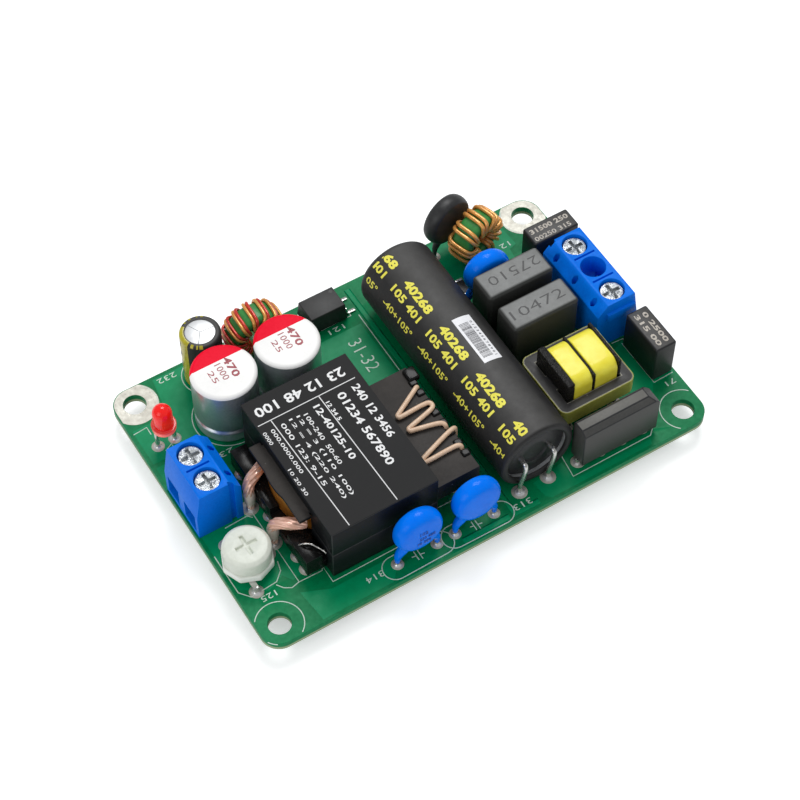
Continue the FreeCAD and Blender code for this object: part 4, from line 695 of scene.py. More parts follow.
underAreas = [
    [(-37.6, 17.4), (-37.6, -14.8), (-27.6, -17.4), (-24, -14), (-24, 6), (-30, 12), (-31, 17)],
    [(-22.5, 24.6), (-7, 24.6), (-7, 17.6), (-20, 8.2), (-22.5, 9.6)],
    [(2.8, 24.6), (15, 24.6), (16.4, 13.6), (29.6, 13.6), (29.6, 4.8), (3.8, 4.8)],
    [(30.6, 11), (37.6, 11), (37.6, -15.4), (33, -17), (30.6, -9.8)],
    [(3.6, -13.6), (15.2, -13.6), (28.6, -14.4), (28.6, -24.6), (3.6, -24.6)],
]
traceRoutes = [
    [(-23.9, 15.4), (-23.9, 17.2), (-22, 18.4)], [(-13.2, 10.4), (-13.2, 7.4), (-2.6, 7.4)],
    [(3.4, 24), (3.4, -24.2), (7.6, -24.2)], [(31.6, 12.8), (30.2, 11.6), (30.2, -8)],
    [(-5.6, -24.2), (-2.2, -24.2), (2.4, -24.2)],
]
underRoutes = [
    [(-8.2, 22.6), (-6.6, 22.6), (-4, 20), (-4, 8)], [(1.4, 22.6), (2.2, 21), (2.2, 9.6), (-2.4, 5.6)],
    [(-18.6, 6.6), (-6.2, 6.6), (-4.2, 4.6), (-1.6, 4.6)], [(-8.5, -22.6), (-8.5, -17), (-3, -13.4)],
    [(-16, -22.6), (-20, -21), (-22.4, -18.6)], [(1.3, -22.6), (1.3, -15.6), (-1.2, -13)],
]
sheets = [flatArea(points, level) for areas, level in ((copperAreas, top), (underAreas, 0))
          for points in areas]
sheets += [inkPath(points, boardLook["traceWidth"], level, rise=boardLook["traceRise"])
           for routes, level in ((traceRoutes, top), (underRoutes, 0)) for points in routes]
dress(joinAll("maskedCopper", sheets), "maskGreen", smooth=0)

# Tinned corner pads, cut off by the rounded corners of the board
padLook = {"steps": 96, "reach": 3.7, "bore": 1.8, "inset": 0.14, "corner": 2.9, "rise": 0.035,
           "hole": (35, 22)}


def padOutline(angle):
    holeX, holeY = padLook["hole"]
    along, upward = math.cos(angle), math.sin(angle)
    span = padLook["reach"]
    if along > 0:
        span = min(span, (boardHigh.x - padLook["inset"] - holeX) / along)
    if upward > 0:
        span = min(span, (boardHigh.y - padLook["inset"] - holeY) / upward)
    fromX = holeX - (boardHigh.x - padLook["inset"] - padLook["corner"])
    fromY = holeY - (boardHigh.y - padLook["inset"] - padLook["corner"])
    if fromX + along * span > 0 and fromY + upward * span > 0:
        slope = along * fromX + upward * fromY
        span = min(span, math.sqrt(slope ** 2 - fromX ** 2 - fromY ** 2 + padLook["corner"] ** 2) - slope)
    return holeX + along * span, holeY + upward * span


def cornerPad(side, level):
    steps = padLook["steps"]
    spots = []
    for step in range(steps):
        angle = 2 * math.pi * step / steps
        outerX, outerY = padOutline(angle)
        spots.append((side * (padLook["hole"][0] + padLook["bore"] * math.cos(angle)),
                      padLook["hole"][1] + padLook["bore"] * math.sin(angle), level))
        spots.append((side * outerX, outerY, level))
    faces = [(2 * step, 2 * step + 1, (2 * step + 3) % len(spots), (2 * step + 2) % len(spots))
             for step in range(steps)]
    return faceOutward(thicken(newPiece("cornerPad", spots, faces=faces), 2 * padLook["rise"]))


cornerPads = [cornerPad(side, level) for side in (-1, 1) for level in (0, top)]
dress(joinAll("cornerPads", cornerPads), "tinPlate", smooth=0)

# White ink: outlines round the parts, and plain numbers beside them
inkLook = {"line": 0.17, "level": top + 0.02, "nearRing": 3.55, "canRing": 5.45, "ovalHalf": 1.95}


def inkLine(points, closed=False):
    return inkPath(points, inkLook["line"], inkLook["level"], closed)


def inkArc(x, y, radius, start, end, steps=28):
    return inkLine(arcPoints(x, y, radius, start, end, steps))


def inkOval(first, second, steps=14):
    lean = math.degrees(math.atan2(second[1] - first[1], second[0] - first[0]))
    return inkLine(arcPoints(*second, inkLook["ovalHalf"], lean - 90, lean + 90, steps)
                   + arcPoints(*first, inkLook["ovalHalf"], lean + 90, lean + 270, steps), closed=True)


inkRoutes = [
    [(-29.27, -1.7), (-29.27, -17.6), (-25.5, -17.7), (-25.1, -17), (-25.1, -20.1), (-6.6, -20.05)],
    [(-6.2, -17.45), (-3.2, -17.45)],
    [(-33.95, -4.2), (-30.2, -4.05), (-29.6, -4.7)],
    [(-37.58, -7.6), (-37.56, -14.6), (-36.3, -16.2), (-32, -15.9), (-30.6, -14.6), (-30.2, -13)],
    [(-32.3, -16.3), (-31.6, -17.3), (-30.6, -17.9), (-29.3, -17.6)],
    [(-4, 19.2), (1.4, 19.3), (1.4, 23.4)],
    [(2.5, 18.8), (2.4, 6.3)],
    [(14.8, -18.7), (14.2, -23.3), (28.1, -23.3), (29, -22.5), (29, -21.2)],
    [(34.15, -7.1), (34.15, -15.7), (37.65, -15.6)],
    [(32.8, -6.3), (34.8, -6.45), (34.8, -7)],
    [(-37.7, 17.2), (-35.4, 17.4), (-35.4, 15.9)],
    [(-34.9, 12.2), (-33.6, 12.9), (-33.6, 11.4), (-34.9, 12.2)],
    [(15.6, 20.4), (16.4, 19.4), (16.4, 17.6), (18.4, 16.6)],
    [(15.2, 10.2), (15.2, 13.6), (17.6, 13.6)],
    [(-13.4, -22.6), (-12.7, -22.7)], [(-12.7, -21.9), (-12.7, -23.5)], [(-12.1, -22), (-12.1, -23.6)],
    [(-12.1, -22.8), (-11.4, -22.9)],
    [(-3.5, -22.7), (-2.9, -22.8)], [(-2.9, -22), (-2.9, -23.6)], [(-2.3, -22.1), (-2.3, -23.7)],
    [(-2.3, -22.9), (-1.6, -23)],
]
ink = [inkLine(points) for points in inkRoutes]
ink += [inkArc(x, y, inkLook["nearRing"], start, end)
        for x, y, start, end in ((-35, -22, -54, 145), (35, -22, 41, 229), (-35, 22, -62, 44),
                                 (35, 22, 136, 238))]
ink += [inkArc(x, 12.9, inkLook["canRing"], 0, 360, 56) for x in (-23.9, -13.2)]
ink += [inkArc(-35, -22, 3.42, 211, 236, 8), inkArc(-23.2, 21.4, 3.6, 0, 360, 48)]
ink += [inkOval((-16.3, -22.85), (-8.5, -22.75)), inkOval((-6.3, -22.85), (1.7, -22.95))]
inkNumbers = [
    ("125", -32.9, -16.9, 180, 2.4, 0.95, 0), ("23", -26.1, 7.7, 180, 2.4, 0.95, 0),
    ("232", -27, 24.3, 180, 3.1, 0.95, 0), ("31-32", -1.8, 15, -90, 6.4, 2.2, -0.012),
    ("121", -0.5, 18.6, 180, 2.7, 0.9, 0), ("314", -18.2, -22.1, 180, 2.8, 1, 0),
    ("313", 6.7, -22.9, 180, 3, 1.05, 0), ("71", 37.1, -16.5, 180, 1.6, 0.9, 0),
    ("12", 30.2, 18.9, 180, 1.7, 0.95, 0), ("17", 18.2, 18.6, 180, 1.8, 0.95, 0),
]
ink.append(printNumbers("boardNumbers", inkNumbers, inkLook["level"]))
dress(joinAll("boardInk", ink), "inkWhite", smooth=0)

# Solder joints: one concave cone, copied to each lead on both faces, with a flat pad under it
jointLook = {"spread": 0.95, "neck": 0.34, "height": 0.9, "flare": 2.2, "padRise": 0.04, "padMargin": 0.16,
             "topHeight": 0.42, "topShare": 0.9}
neck, spread = jointLook["neck"], jointLook["spread"]
concave = [(neck + (spread - neck) * share ** jointLook["flare"], jointLook["height"] * (1 - share))
           for share in (0, 0.25, 0.5, 0.7, 0.85, 0.95, 1)]
coneModel = turnProfile("coneModel", concave, (0, 0, 0), steps=20)
faces = ((0, 1, -1), (top, jointLook["topShare"], jointLook["topHeight"] / jointLook["height"]))
joints, pads = {0: [], top: []}, []
for low, high in partBoxes("solder_joints"):
    middle, reach = (low + high) / 2, (high.x - low.x) / 2 * math.sqrt(2)
    for level, share, rise in faces:
        cone = show("solderCone", coneModel.data.copy())
        cone.scale = (reach / spread * share, reach / spread * share, rise)
        joints[level].append(faceOutward(place(cone, (middle.x, middle.y, level))))
        pads.append(addRound("padDisc", (middle.x, middle.y, level), reach + jointLook["padMargin"],
                             2 * jointLook["padRise"], 24))
bpy.data.objects.remove(coneModel)
dress(joinAll("solderJoints", joints[0]), "solderBright", ["solder_joints"], smooth=50)
dress(joinAll("topSolder", joints[top]), "solderBright", smooth=50)
dress(soften(joinAll("solderPads", pads), 0.02, 1), "tinPlate", smooth=50)
print("board and", len(joints[0]), "solder joints ready")

# Straight leads: round wires with rounded ends where the frame has square ones
leadLook = {"edge": 0.08, "sides": 20}
for node, name in (("status_led_leads", "lampLeads"), ("radial_capacitor_leads", "capacitorLeads"),
                   ("disc_capacitor_leads", "discLeads"), ("input_component_leads", "inputLeads"),
                   ("transformer_pins", "transformerPins"), ("choke_pins", "chokePins")):
    wires = []
    for low, high in partBoxes(node):
        radius = min(high.x - low.x, high.y - low.y) / 2 * math.sqrt(2)
        wires.append(addRound("leadWire", (low + high) / 2, radius, high.z - low.z, leadLook["sides"]))
    dress(soften(joinAll(name, wires), leadLook["edge"], 2), "wireTin", [node])
print("straight leads ready")

# Terminal blocks
terminalLook = {"edge": 0.1, "contactEdge": 0.05, "screwEdge": 0.14, "guardEdge": 0.06}
for side in ("output", "input"):
    dressNode(side + "_terminal_housing", side + "Housing", terminalLook["edge"], 2, "terminalBlue",
              rim="terminalEdgeHighlight")
    dressNode(side + "_terminal_contacts", side + "Contacts", terminalLook["contactEdge"], 1,
              "contactMetal")
    for number in "12":
        dressNode(side + "_terminal_screw_" + number, side + "Screw" + number, terminalLook["screwEdge"], 3,
                  "screwSteel", side + "_screw_" + number)
        dressNode(side + "_wire_guard_" + number, side + "Guard" + number, terminalLook["guardEdge"], 1,
                  "guardSteel", side + "_guard_" + number)
print("terminal blocks ready")

# Trimmer
trimmerLook = {"knobEdge": 0.22, "baseEdge": 0.25, "tabEdge": 0.06}
dressNode("trimmer_rotor", "trimmerKnob", trimmerLook["knobEdge"], 3, "trimmerWhite",
          "trimmer_knob")
dressNode("trimmer_base", "trimmerBase", trimmerLook["baseEdge"], 3, "trimmerWhite")
dressNode("trimmer_terminals", "trimmerTerminals", trimmerLook["tabEdge"], 2, "wireTin")

# Indicator lamp
low, high, middle = boxOf("status_led")
lampLook = {"flange": 1.9, "flangeHeight": 1, "round": 0.1, "barrel": 1.5, "neck": 1.56, "neckRise": 0.08}
flange, level = lampLook["flange"] - lampLook["round"], lampLook["flangeHeight"]
lampProfile = [(0, 0), (flange, 0)]
lampProfile += arcPoints(flange, level - lampLook["round"], lampLook["round"], 0, 90, 3)
lampProfile += [(lampLook["neck"], level), (lampLook["barrel"], level + lampLook["neckRise"])]
lampProfile += arcPoints(0, high.z - low.z - lampLook["barrel"], lampLook["barrel"], 0, 90, 12)
lamp = turnProfile("indicatorLamp", lampProfile, (middle.x, middle.y, low.z), 64)
dress(lamp, "ledRed", ["status_led"])
print("trimmer and lamp ready")

# Output capacitors: turned can with a rolled bead, a white top with a red sector, and three rows of numbers
canLook = {"foot": 0.25, "bead": 2.3, "beadDepth": 0.42, "edge": 0.62, "chord": 1.95, "lift": 0.02,
           "skirt": 78,
           "rows": (("470", 0.75, 2, 3.9, 1.25, 0.028), ("1000", -0.75, 1.5, 3.1, 1.05, 0),
                    ("25", -2.25, 0.9, 2.3, 0.9, 0))}
for number in "12":
    node = "output_capacitor_" + number
    low, high, middle = boxOf(node)
    radius, height = (high.x - low.x) / 2, high.z - low.z
    foot, edge, bead = canLook["foot"], canLook["edge"], canLook["bead"]
    profile = [(0, foot), (radius - 4 * foot, foot), (radius - 3 * foot, 0), (radius - foot, 0)]
    profile += arcPoints(radius - 0.2, 0.2, 0.2, -60, 0, 3) + [(radius, bead - 0.7)]
    profile += [(radius - canLook["beadDepth"] * math.sin(math.pi * step / 8) ** 1.5, bead - 0.5 + step / 8)
                for step in range(9)]
    profile += arcPoints(radius - edge, height - edge, edge, 0, 90, 8) + [(0, height)]
    can = turnProfile("outputCan" + number, profile, (middle.x, middle.y, low.z))
    dress(can, "canAluminium", [node], smooth=40)
    skin = [(0, height - 0.1), (radius - edge, height - 0.1)]
    skin += arcPoints(radius - edge, height - edge, edge + canLook["lift"], 90 - canLook["skirt"], 90, 8)
    skin.append((0, height + canLook["lift"]))
    chord = (middle.x, middle.y + canLook["chord"], high.z)
    for name, side, finish in (("canTop", 1, "topWhite"), ("canSector", -1, "topRed")):
        cap = turnProfile(name + number, skin, (middle.x, middle.y, low.z))
        dress(cutAway(cap, chord, (0, side, 0)), finish, smooth=40)
    rows = [(text, middle.x + across, middle.y + start, -90, length, tall, heavy)
            for text, across, start, length, tall, heavy in canLook["rows"]]
    numbers = printNumbers("canNumbers" + number, rows, high.z + canLook["lift"])
    dress(numbers, "printMaroon", smooth=0)
print("output capacitors ready")

# Small electrolytic: black sleeve with a gold stripe, rolled over the rim of a vented can
filterLook = {"wall": 0.15, "mouth": 2.3, "edge": 0.55, "lip": 0.2, "film": 0.012, "lift": 0.01,
              "stripeSweep": 74, "stripeSwing": 204, "dashSwing": 174, "dashSweep": 9, "dashStart": 1.6,
              "dashLength": 0.9, "dashPitch": 2.4, "dashCount": 4, "arm": 2.2, "armWidth": 0.11,
              "armTurns": (116, 236, 356),
              "rimMarks": ((222, 9), (236, 5), (250, 10), (60, 8), (74, 5), (100, 9), (118, 6))}
low, high, middle = boxOf("filter_capacitor_sleeve")
foot = (middle.x, middle.y, low.z)
radius, height = (high.x - low.x) / 2, high.z - low.z
edge, lift, mouth = filterLook["edge"], filterLook["lift"], filterLook["mouth"]
inner = radius - filterLook["wall"]
sleeveSkin = [(inner, 0), (radius, 0)] + arcPoints(radius - edge, height - edge, edge, 0, 90, 7)
sleeveSkin += [(mouth, height - 0.03), (mouth, height - filterLook["lip"]),
               (inner - 0.35, height - filterLook["lip"]), (inner, height - 0.75), (inner, 0)]
sleeve = turnProfile("filterSleeve", sleeveSkin, foot, 72)
dress(sleeve, "sleeveBlack", ["filter_capacitor_sleeve"], smooth=40)


# A thin film of paint on the sleeve
def filmTurn(name, skin, steps, swing, sweep):
    return thicken(turnProfile(name, skin, foot, steps, swing=swing, sweep=sweep), filterLook["film"], 1)


stripeSkin = [(radius + lift, 0.05)] + arcPoints(radius - edge, height - edge, edge + lift, 0, 88, 7)
stripeSkin.append((mouth + 0.15, height + lift / 2))
stripe = filmTurn("filterStripe", stripeSkin, 20, filterLook["stripeSwing"], filterLook["stripeSweep"])
dress(stripe, "stripeGold", smooth=40)
dashes = []
for step in range(filterLook["dashCount"]):
    start = filterLook["dashStart"] + filterLook["dashPitch"] * step
    skin = [(radius + 2.5 * lift, start), (radius + 2.5 * lift, start + filterLook["dashLength"])]
    dashes.append(filmTurn("dash", skin, 4, filterLook["dashSwing"], filterLook["dashSweep"]))
dress(joinAll("filterDashes", dashes), "stickerBlack", smooth=0)
rimSkin = arcPoints(radius - edge, height - edge, edge + lift, 20, 85, 6)
marks = [filmTurn("rimMark", rimSkin, 3, swing, sweep) for swing, sweep in filterLook["rimMarks"]]
dress(joinAll("filterRimMarks", marks), "stripeGold", smooth=40)
dressNode("filter_capacitor_can", "filterCan", 0.2, 2, "ventSilver")
low, high, middle = boxOf("filter_capacitor_can")
# Dark grey arms on the vent top: painted shade in the vent's grooves.
arms = []
for turn in filterLook["armTurns"]:
    arm = addBlock("ventArm", (filterLook["arm"] / 2, 0, 0),
                   (filterLook["arm"], filterLook["armWidth"], 0.05))
    arms.append(place(soften(arm, 0.05, 1), (middle.x, middle.y, high.z), turn))
dress(joinAll("ventArms", arms), "ventGrooveShade")
print("small electrolytic ready")

# Bulk capacitor lying on its side: sleeve drawn over both ends, a groove over the seal, and yellow print
bulkLow, bulkHigh, bulkMiddle = boxOf("bulk_capacitor_sleeve")
bulkEnd = boxOf("bulk_capacitor_can")[1].y
bulkLook = {"mouth": 5.05, "rimRound": 0.42, "lip": 0.55, "groove": 2.9, "grooveHalf": 1.4,
            "grooveDepth": 0.07, "shoulder": 1.3, "farMouth": 4.7, "wall": 0.15, "innerRound": 1.15,
            "period": 9.9, "repeats": 5, "printLift": 0.015, "firstRow": 22.4, "printEnds": (18.4, -19.9),
            "sealSink": 0.75, "sealDepth": 3.6, "sealRadius": 5.3, "leadHalf": 2.5, "leadRadius": 0.38}
radius, length = (bulkHigh.x - bulkLow.x) / 2, bulkEnd - bulkLow.y
inner = radius - bulkLook["wall"]
rim, mouth, lip = bulkLook["rimRound"], bulkLook["mouth"], bulkLook["lip"]
shoulder, bend = bulkLook["shoulder"], bulkLook["innerRound"]
bulkSkin = [(mouth, lip)] + arcPoints(mouth + rim, rim, rim, 180, 270, 5)
bulkSkin += arcPoints(radius - rim * 1.4, rim * 1.4, rim * 1.4, -90, 0, 6)
bulkSkin += [(radius - bulkLook["grooveDepth"] * math.sin(math.pi * step / 10) ** 2,
              bulkLook["groove"] + bulkLook["grooveHalf"] * (step / 5 - 1)) for step in range(11)]
bulkSkin += arcPoints(radius - shoulder, length - shoulder, shoulder, 0, 90, 8)
bulkSkin += [(bulkLook["farMouth"], length), (bulkLook["farMouth"], length - bulkLook["wall"])]
bulkSkin += arcPoints(inner - bend, length - bulkLook["wall"] - bend, bend, 90, 0, 6)
bulkSkin += [(inner - bulkLook["grooveDepth"], bulkLook["groove"]), (inner, 0.9), (mouth, lip)]
sink, deep, wide = bulkLook["sealSink"], bulkLook["sealDepth"], bulkLook["sealRadius"]
sealSkin = [(0, 1), (1.9, 1), (2.1, sink), (3.5, sink), (3.9, 1.05), (4.9, 1.05), (wide, 1.35),
            (wide, deep), (0, deep)]
for name, skin, steps, finish, slotName, node in (
        ("bulkSleeve", bulkSkin, 128, "sleeveBlack", "sleeve_black", "bulk_capacitor_sleeve"),
        ("bulkSeal", sealSkin, 96, "sealRubber", "seal_rubber", "bulk_capacitor_seal")):
    turned = turnProfile(name, skin, (bulkMiddle.x, bulkLow.y, bulkMiddle.z), steps, tilt=-90)
    dress(turned, finish, [node], smooth=40)
dressNode("bulk_capacitor_can", "bulkCan", 0.3, 3, "ventSilver")
leadRoute = ((0, -17.4, 7.97), (0, -20.6, 7.97), (0, -21.3, 7.95), (-0.05, -21.5, 7.2), (-0.3, -21.45, 5.6),
             (-0.75, -21.4, 3.6), (-0.8, -21.4, 2.6), (-0.8, -21.4, -2.5))
bulkLeads = []
for side in (-1, 1):
    route = [(bulkMiddle.x + side * bulkLook["leadHalf"] + x, y, z) for x, y, z in leadRoute]
    bulkLeads.append(runWire("bulkLead", route, bulkLook["leadRadius"], sides=5, fineness=6))
dress(joinAll("bulkLeads", bulkLeads), "wireTin", ["bulk_capacitor_leads"], smooth=60)

# Print repeats along the can. Each row is its text, where its foot lies round the can from the ridge, its
# length, its height, how bold it is, and how far it starts after the first row.
bulkRows = (("40268", -2.8, 6.9, 1.55, 0.045, 0), ("105 401", -4.8, 7.5, 1.35, 0.03, -0.8),
            ("-40+105°", -7.4, 7.8, 1.2, 0.012, -0.7))
marks = []
for repeat in range(bulkLook["repeats"]):
    for text, foot, long, tall, heavy, shift in bulkRows:
        start = repeat * bulkLook["period"] - bulkLook["firstRow"] + shift
        marks.append(place(flatMark(text, long, tall, heavy), (start, foot, 0)))
bulkPrint = joinAll("bulkPrint", marks)
for end, side in zip(bulkLook["printEnds"], (-1, 1)):
    cutAway(bulkPrint, (-end, 0, 0), (side, 0, 0), fill=False)
wrapRound(bulkPrint, bulkMiddle, radius + bulkLook["printLift"])
dress(bulkPrint, "printYellow", smooth=40)

# White sticker with bars and a small number row
stickerLook = {"length": 9.1, "width": 3.15, "x": -2.5, "y": -0.3, "lift": 0.01, "barStart": 1.3,
               "barEnd": 8.3, "barFoot": 0.4, "barTop": 2.05, "thick": (0.05, 0.05, 0.09, 0.13),
               "gaps": (0.06, 0.08, 0.12), "rowX": 1.2, "rowY": 2.35, "rowLength": 7.2, "rowTall": 0.42}
stickX, stickY = stickerLook["x"], stickerLook["y"]
paper = addBlock("sticker", (stickX + stickerLook["length"] / 2, stickY + stickerLook["width"] / 2, 0.02),
                 (stickerLook["length"], stickerLook["width"], 0.03))
wrapRound(paper, bulkMiddle, radius + stickerLook["lift"])
dress(paper, "stickerWhite", smooth=40)
barDice = random.Random(5)
barY = stickY + (stickerLook["barFoot"] + stickerLook["barTop"]) / 2
bars = []
along = stickerLook["barStart"]
while along < stickerLook["barEnd"]:
    thick = barDice.choice(stickerLook["thick"])
    bars.append(addBlock("bar", (stickX + along + thick / 2, barY, 0.04),
                         (thick, stickerLook["barTop"] - stickerLook["barFoot"], 0.02)))
    along += thick + barDice.choice(stickerLook["gaps"])
row = flatMark("0 1 2 3 4 5 6 7 8 9 0 1", stickerLook["rowLength"], stickerLook["rowTall"], 0.01)
bars.append(place(row, (stickX + stickerLook["rowX"], stickY + stickerLook["rowY"], 0.035)))
stickerBars = joinAll("stickerBars", bars)
wrapRound(stickerBars, bulkMiddle, radius + stickerLook["lift"])
dress(stickerBars, "stickerBlack", smooth=0)
print("bulk capacitor ready")

# Transformer: two dark core halves under a printed film
coreLook = {"edge": 0.12, "labelEdge": 0.03, "deckX": -6.95, "barZ": 9.4, "ruleWidth": 0.16,
            "ruleRise": 0.015, "printLift": 0.012}
for half in ("lower", "upper"):
    dressNode("transformer_core_" + half, "core" + half.title(), coreLook["edge"], 2, "coreBlack",
              rim="coreEdge")
dressNode("transformer_label", "coreLabel", coreLook["labelEdge"], 1, "labelFilm")
labelTop = boxOf("transformer_label")[1].z
labelRules = [[(-24.4, 1.7), (-8.1, 1.8)], [(-22.3, 1.6), (-21.7, -19.4)], [(-14.3, 1.8), (-13.8, -19.3)]]
labelRows = [
    ("23 12 48 100", -8.9, 4.6, 180, 14.8, 1.75, 0.02), ("240 12 3456", -9.45, 0.7, -90, 10.5, 1.3, 0.022),
    ("01234 567890", -12.05, 0.6, -90, 14.4, 1.4, 0.022), ("12 34 5", -14.05, 0.2, -90, 3.7, 0.65, 0.02),
    ("12-40125-10", -16, 0.5, -90, 10.7, 1.1, 0.022), ("100-240  50-60", -17.85, 0, -90, 10, 0.72, 0.008),
    ("12 = 3 (110 100)", -19.05, 0.3, -90, 15.6, 0.74, 0.008),
    ("12 = 4 (220 240)", -20.25, 0.4, -90, 15.7, 0.74, 0.008),
    ("000 123: 9-15", -21.55, 0.3, -90, 12.3, 0.74, 0.008),
    ("000.0000.000", -23.25, 0.2, -90, 8.7, 0.62, 0.008), ("10 20 30", -24.5, -7, -90, 5.1, 0.55, 0.008),
    ("0000", -24.5, 0.3, -90, 2.4, 0.6, 0.008),
]
labelPrint = [inkPath(points, coreLook["ruleWidth"], labelTop,
                      rise=coreLook["ruleRise"]) for points in labelRules]
labelPrint.append(printNumbers("labelRows", labelRows, labelTop + coreLook["printLift"]))
dress(joinAll("labelPrint", labelPrint), "printWhite", smooth=0)

# The bobbin's pin side is glossy, the bar over it and the deck are dull. Cuts are a spot and a way.
deckX, barZ = (coreLook["deckX"], 0, 0), (0, 0, coreLook["barZ"])
for name, cuts, finish in (("coreBobbin", ((deckX, (1, 0, 0)), (barZ, (0, 0, 1))), "mouldBlack"),
                           ("coreBar", ((deckX, (1, 0, 0)), (barZ, (0, 0, -1))), "deckGrey"),
                           ("coreDeck", ((deckX, (-1, 0, 0)),), "deckGrey")):
    part = fromFrame("transformer_bobbin", name)
    for spot, way in cuts:
        cutAway(part, spot, way)
    dress(soften(part, coreLook["edge"], 2, rim=True), finish, ["transformer_bobbin"],
          rim="coreEdge")
deckLook = {"edgeX": -0.53, "top": 10.75, "notches": (-3.1, -7.2, -11.3, -15.4), "half": 1.02, "edge": 0.22,
            "combSize": (1.3, 1.2, 0.7), "lump": (-0.05, -0.7, 10.9), "lumpSize": (1.9, 2.3, 1),
            "lumpEdge": 0.3}
combs = []
for y in deckLook["notches"]:
    for side in (-1, 1):
        comb = addBlock("comb", (deckLook["edgeX"], y + side * deckLook["half"], deckLook["top"]),
                        deckLook["combSize"])
        combs.append(modify(soften(comb, deckLook["edge"], 3), "SMOOTH", factor=0.3))
combs.append(soften(addBlock("deckLump", deckLook["lump"], deckLook["lumpSize"]), deckLook["lumpEdge"], 3))
dress(joinAll("deckCombs", combs), "mouldBlack", smooth=60)
dressNode("transformer_winding", "coreWinding", 0.3, 2, "varnishCopper")

# Stranded leads from the coil over the rail, with a pale wrap where they go down
litzLook = {"radius": 0.92, "lobes": 8, "twist": 26, "wrapRadius": 0.98}
litzRoutes = (
    [(-25.6, -0.9, 8.1), (-26.2, -1.5, 8.15), (-27.4, -2.1, 8.05), (-28.6, -2.6, 7.7), (-29.1, -2.95, 6.9),
     (-29.1, -3.05, 5.6), (-29, -3.05, 4.2), (-29, -3.05, 2.6), (-29, -3.05, 1.6)],
    [(-25.2, -13.2, 8.05), (-25.9, -12.9, 8.15), (-27, -12.2, 8.1), (-28.2, -11.1, 7.8), (-28.95, -10.3, 7),
     (-29.05, -9.95, 5.8), (-29, -9.95, 4.4), (-29, -9.95, 2.8), (-29, -9.95, 1.6)],
)
litzRadii = (0.75, 0.95, 1.05, 1, 0.98, 0.95, 0.9, 0.8, 0.62)
strands = []
wraps = []
for route in litzRoutes:
    foot = route[-1]
    strands.append(runWire("litz", route, litzLook["radius"], lobes=litzLook["lobes"],
                           twist=litzLook["twist"], radii=litzRadii, fineness=5))
    strands.append(runWire("litzTail", [foot, (*foot[:2], -2.5)], 0.5, order=2, lobes=5))
    wraps.append(runWire("litzWrap", route[4:8], litzLook["wrapRadius"], radii=(0.6, 0.98, 0.94, 0.7),
                         sides=5, fineness=5))
dress(joinAll("litzLeads", strands), "litzCopper", ["transformer_output_leads"], smooth=50)
dress(joinAll("litzWraps", wraps), "litzWrap", smooth=60)

# Tan insulated wires: a zigzag and a loop over the deck
tanRoutes = (
    [(-0.45, -3.1, 8.8), (-0.45, -3.1, 10.6), (-0.55, -3.15, 11.25), (-1.2, -3.55, 11.3),
     (-5.2, -5.8, 11.3), (-5.75, -6.1, 11.28), (-5.75, -6.5, 11.28), (-5.2, -6.55, 11.3),
     (-1.3, -6.35, 11.32), (-0.35, -6.6, 11.3), (-0.35, -7.4, 11.3), (-1.1, -7.8, 11.32), (-5, -8.7, 11.3),
     (-5.6, -8.9, 11.28), (-5.6, -9.35, 11.28), (-5, -9.45, 11.3), (-1.6, -10.2, 11.3),
     (-0.7, -10.6, 11.28), (-0.45, -11.2, 11), (-0.45, -11.3, 8.8)],
    [(0.47, -12.1, 8.8), (0.47, -12.1, 10.8), (0.2, -12.15, 11.28), (-1, -12.4, 11.32), (-6.1, -14.2, 11.3),
     (-6.72, -14.5, 11.28), (-6.72, -15, 11.28), (-6.1, -15.1, 11.3), (-1.5, -14.9, 11.3),
     (-0.6, -15.1, 11.25), (-0.45, -15.4, 10.7), (-0.45, -15.4, 8.8)],
)
tanWires = [runWire("tanWire", route, 0.36, sides=5, fineness=5) for route in tanRoutes]
dress(joinAll("tanWires", tanWires), "wireTan", ["transformer_input_wires"], smooth=60)
shieldRoute = [(-27.45, -14.9, 6.5), (-27.3, -15.1, 6.8), (-26.9, -15.5, 7.25), (-26.2, -16.1, 7.4),
               (-25.6, -16.9, 7.1), (-25.1, -17.7, 6.85), (-24.9, -18.2, 6.7)]
shield = runWire("shieldWire", shieldRoute, 0.16, lobes=2, twist=190, fineness=8)
dress(shield, "wireTin", ["transformer_shield_wire"], smooth=60)
print("transformer ready")

# Choke: taped frame core, wrinkled yellow coils, lacquered end
for node, name, edge, segments, finish, slotName, rim, smooth in (
        ("choke_core", "chokeCore", 0.14, 2, "ferriteGrey", "ferrite", "ferriteEdge", 32),
        ("choke_tape", "chokeTape", 0.02, 1, "tapeOlive", "coil_tape", None, 32),
        ("choke_bobbin", "chokeBobbin", 0.1, 2, "lacquerBlack", "black_moulding", None, 32),
        ("choke_windings", "chokeCoils", 0.35, 3, "coilYellow", "coil_tape", None, 45)):
    dressNode(node, name, edge, segments, finish, rim=rim, smooth=smooth)
print("choke ready")

# Ring chokes: a rounded core and two smooth wires. Angles are in degrees round the ring.
rings = {
    "input_inductor": {"centre": (24.1, 19.2, 6.8), "turn": 18, "radius": 4, "bore": 2.1, "thickness": 3.6,
                       "wire": 0.32, "round": 0.75, "first": 260, "last": 118, "pitch": -40.5, "turns": 8},
    "output_inductor": {"centre": (-14.4, 21.4, 6.9), "turn": 0, "radius": 4.3, "bore": 2.3,
                        "thickness": 3.8, "wire": 0.26, "round": 0.8, "first": 247, "last": -53,
                        "pitch": -25, "turns": 12},
}
ringDice = random.Random(11)


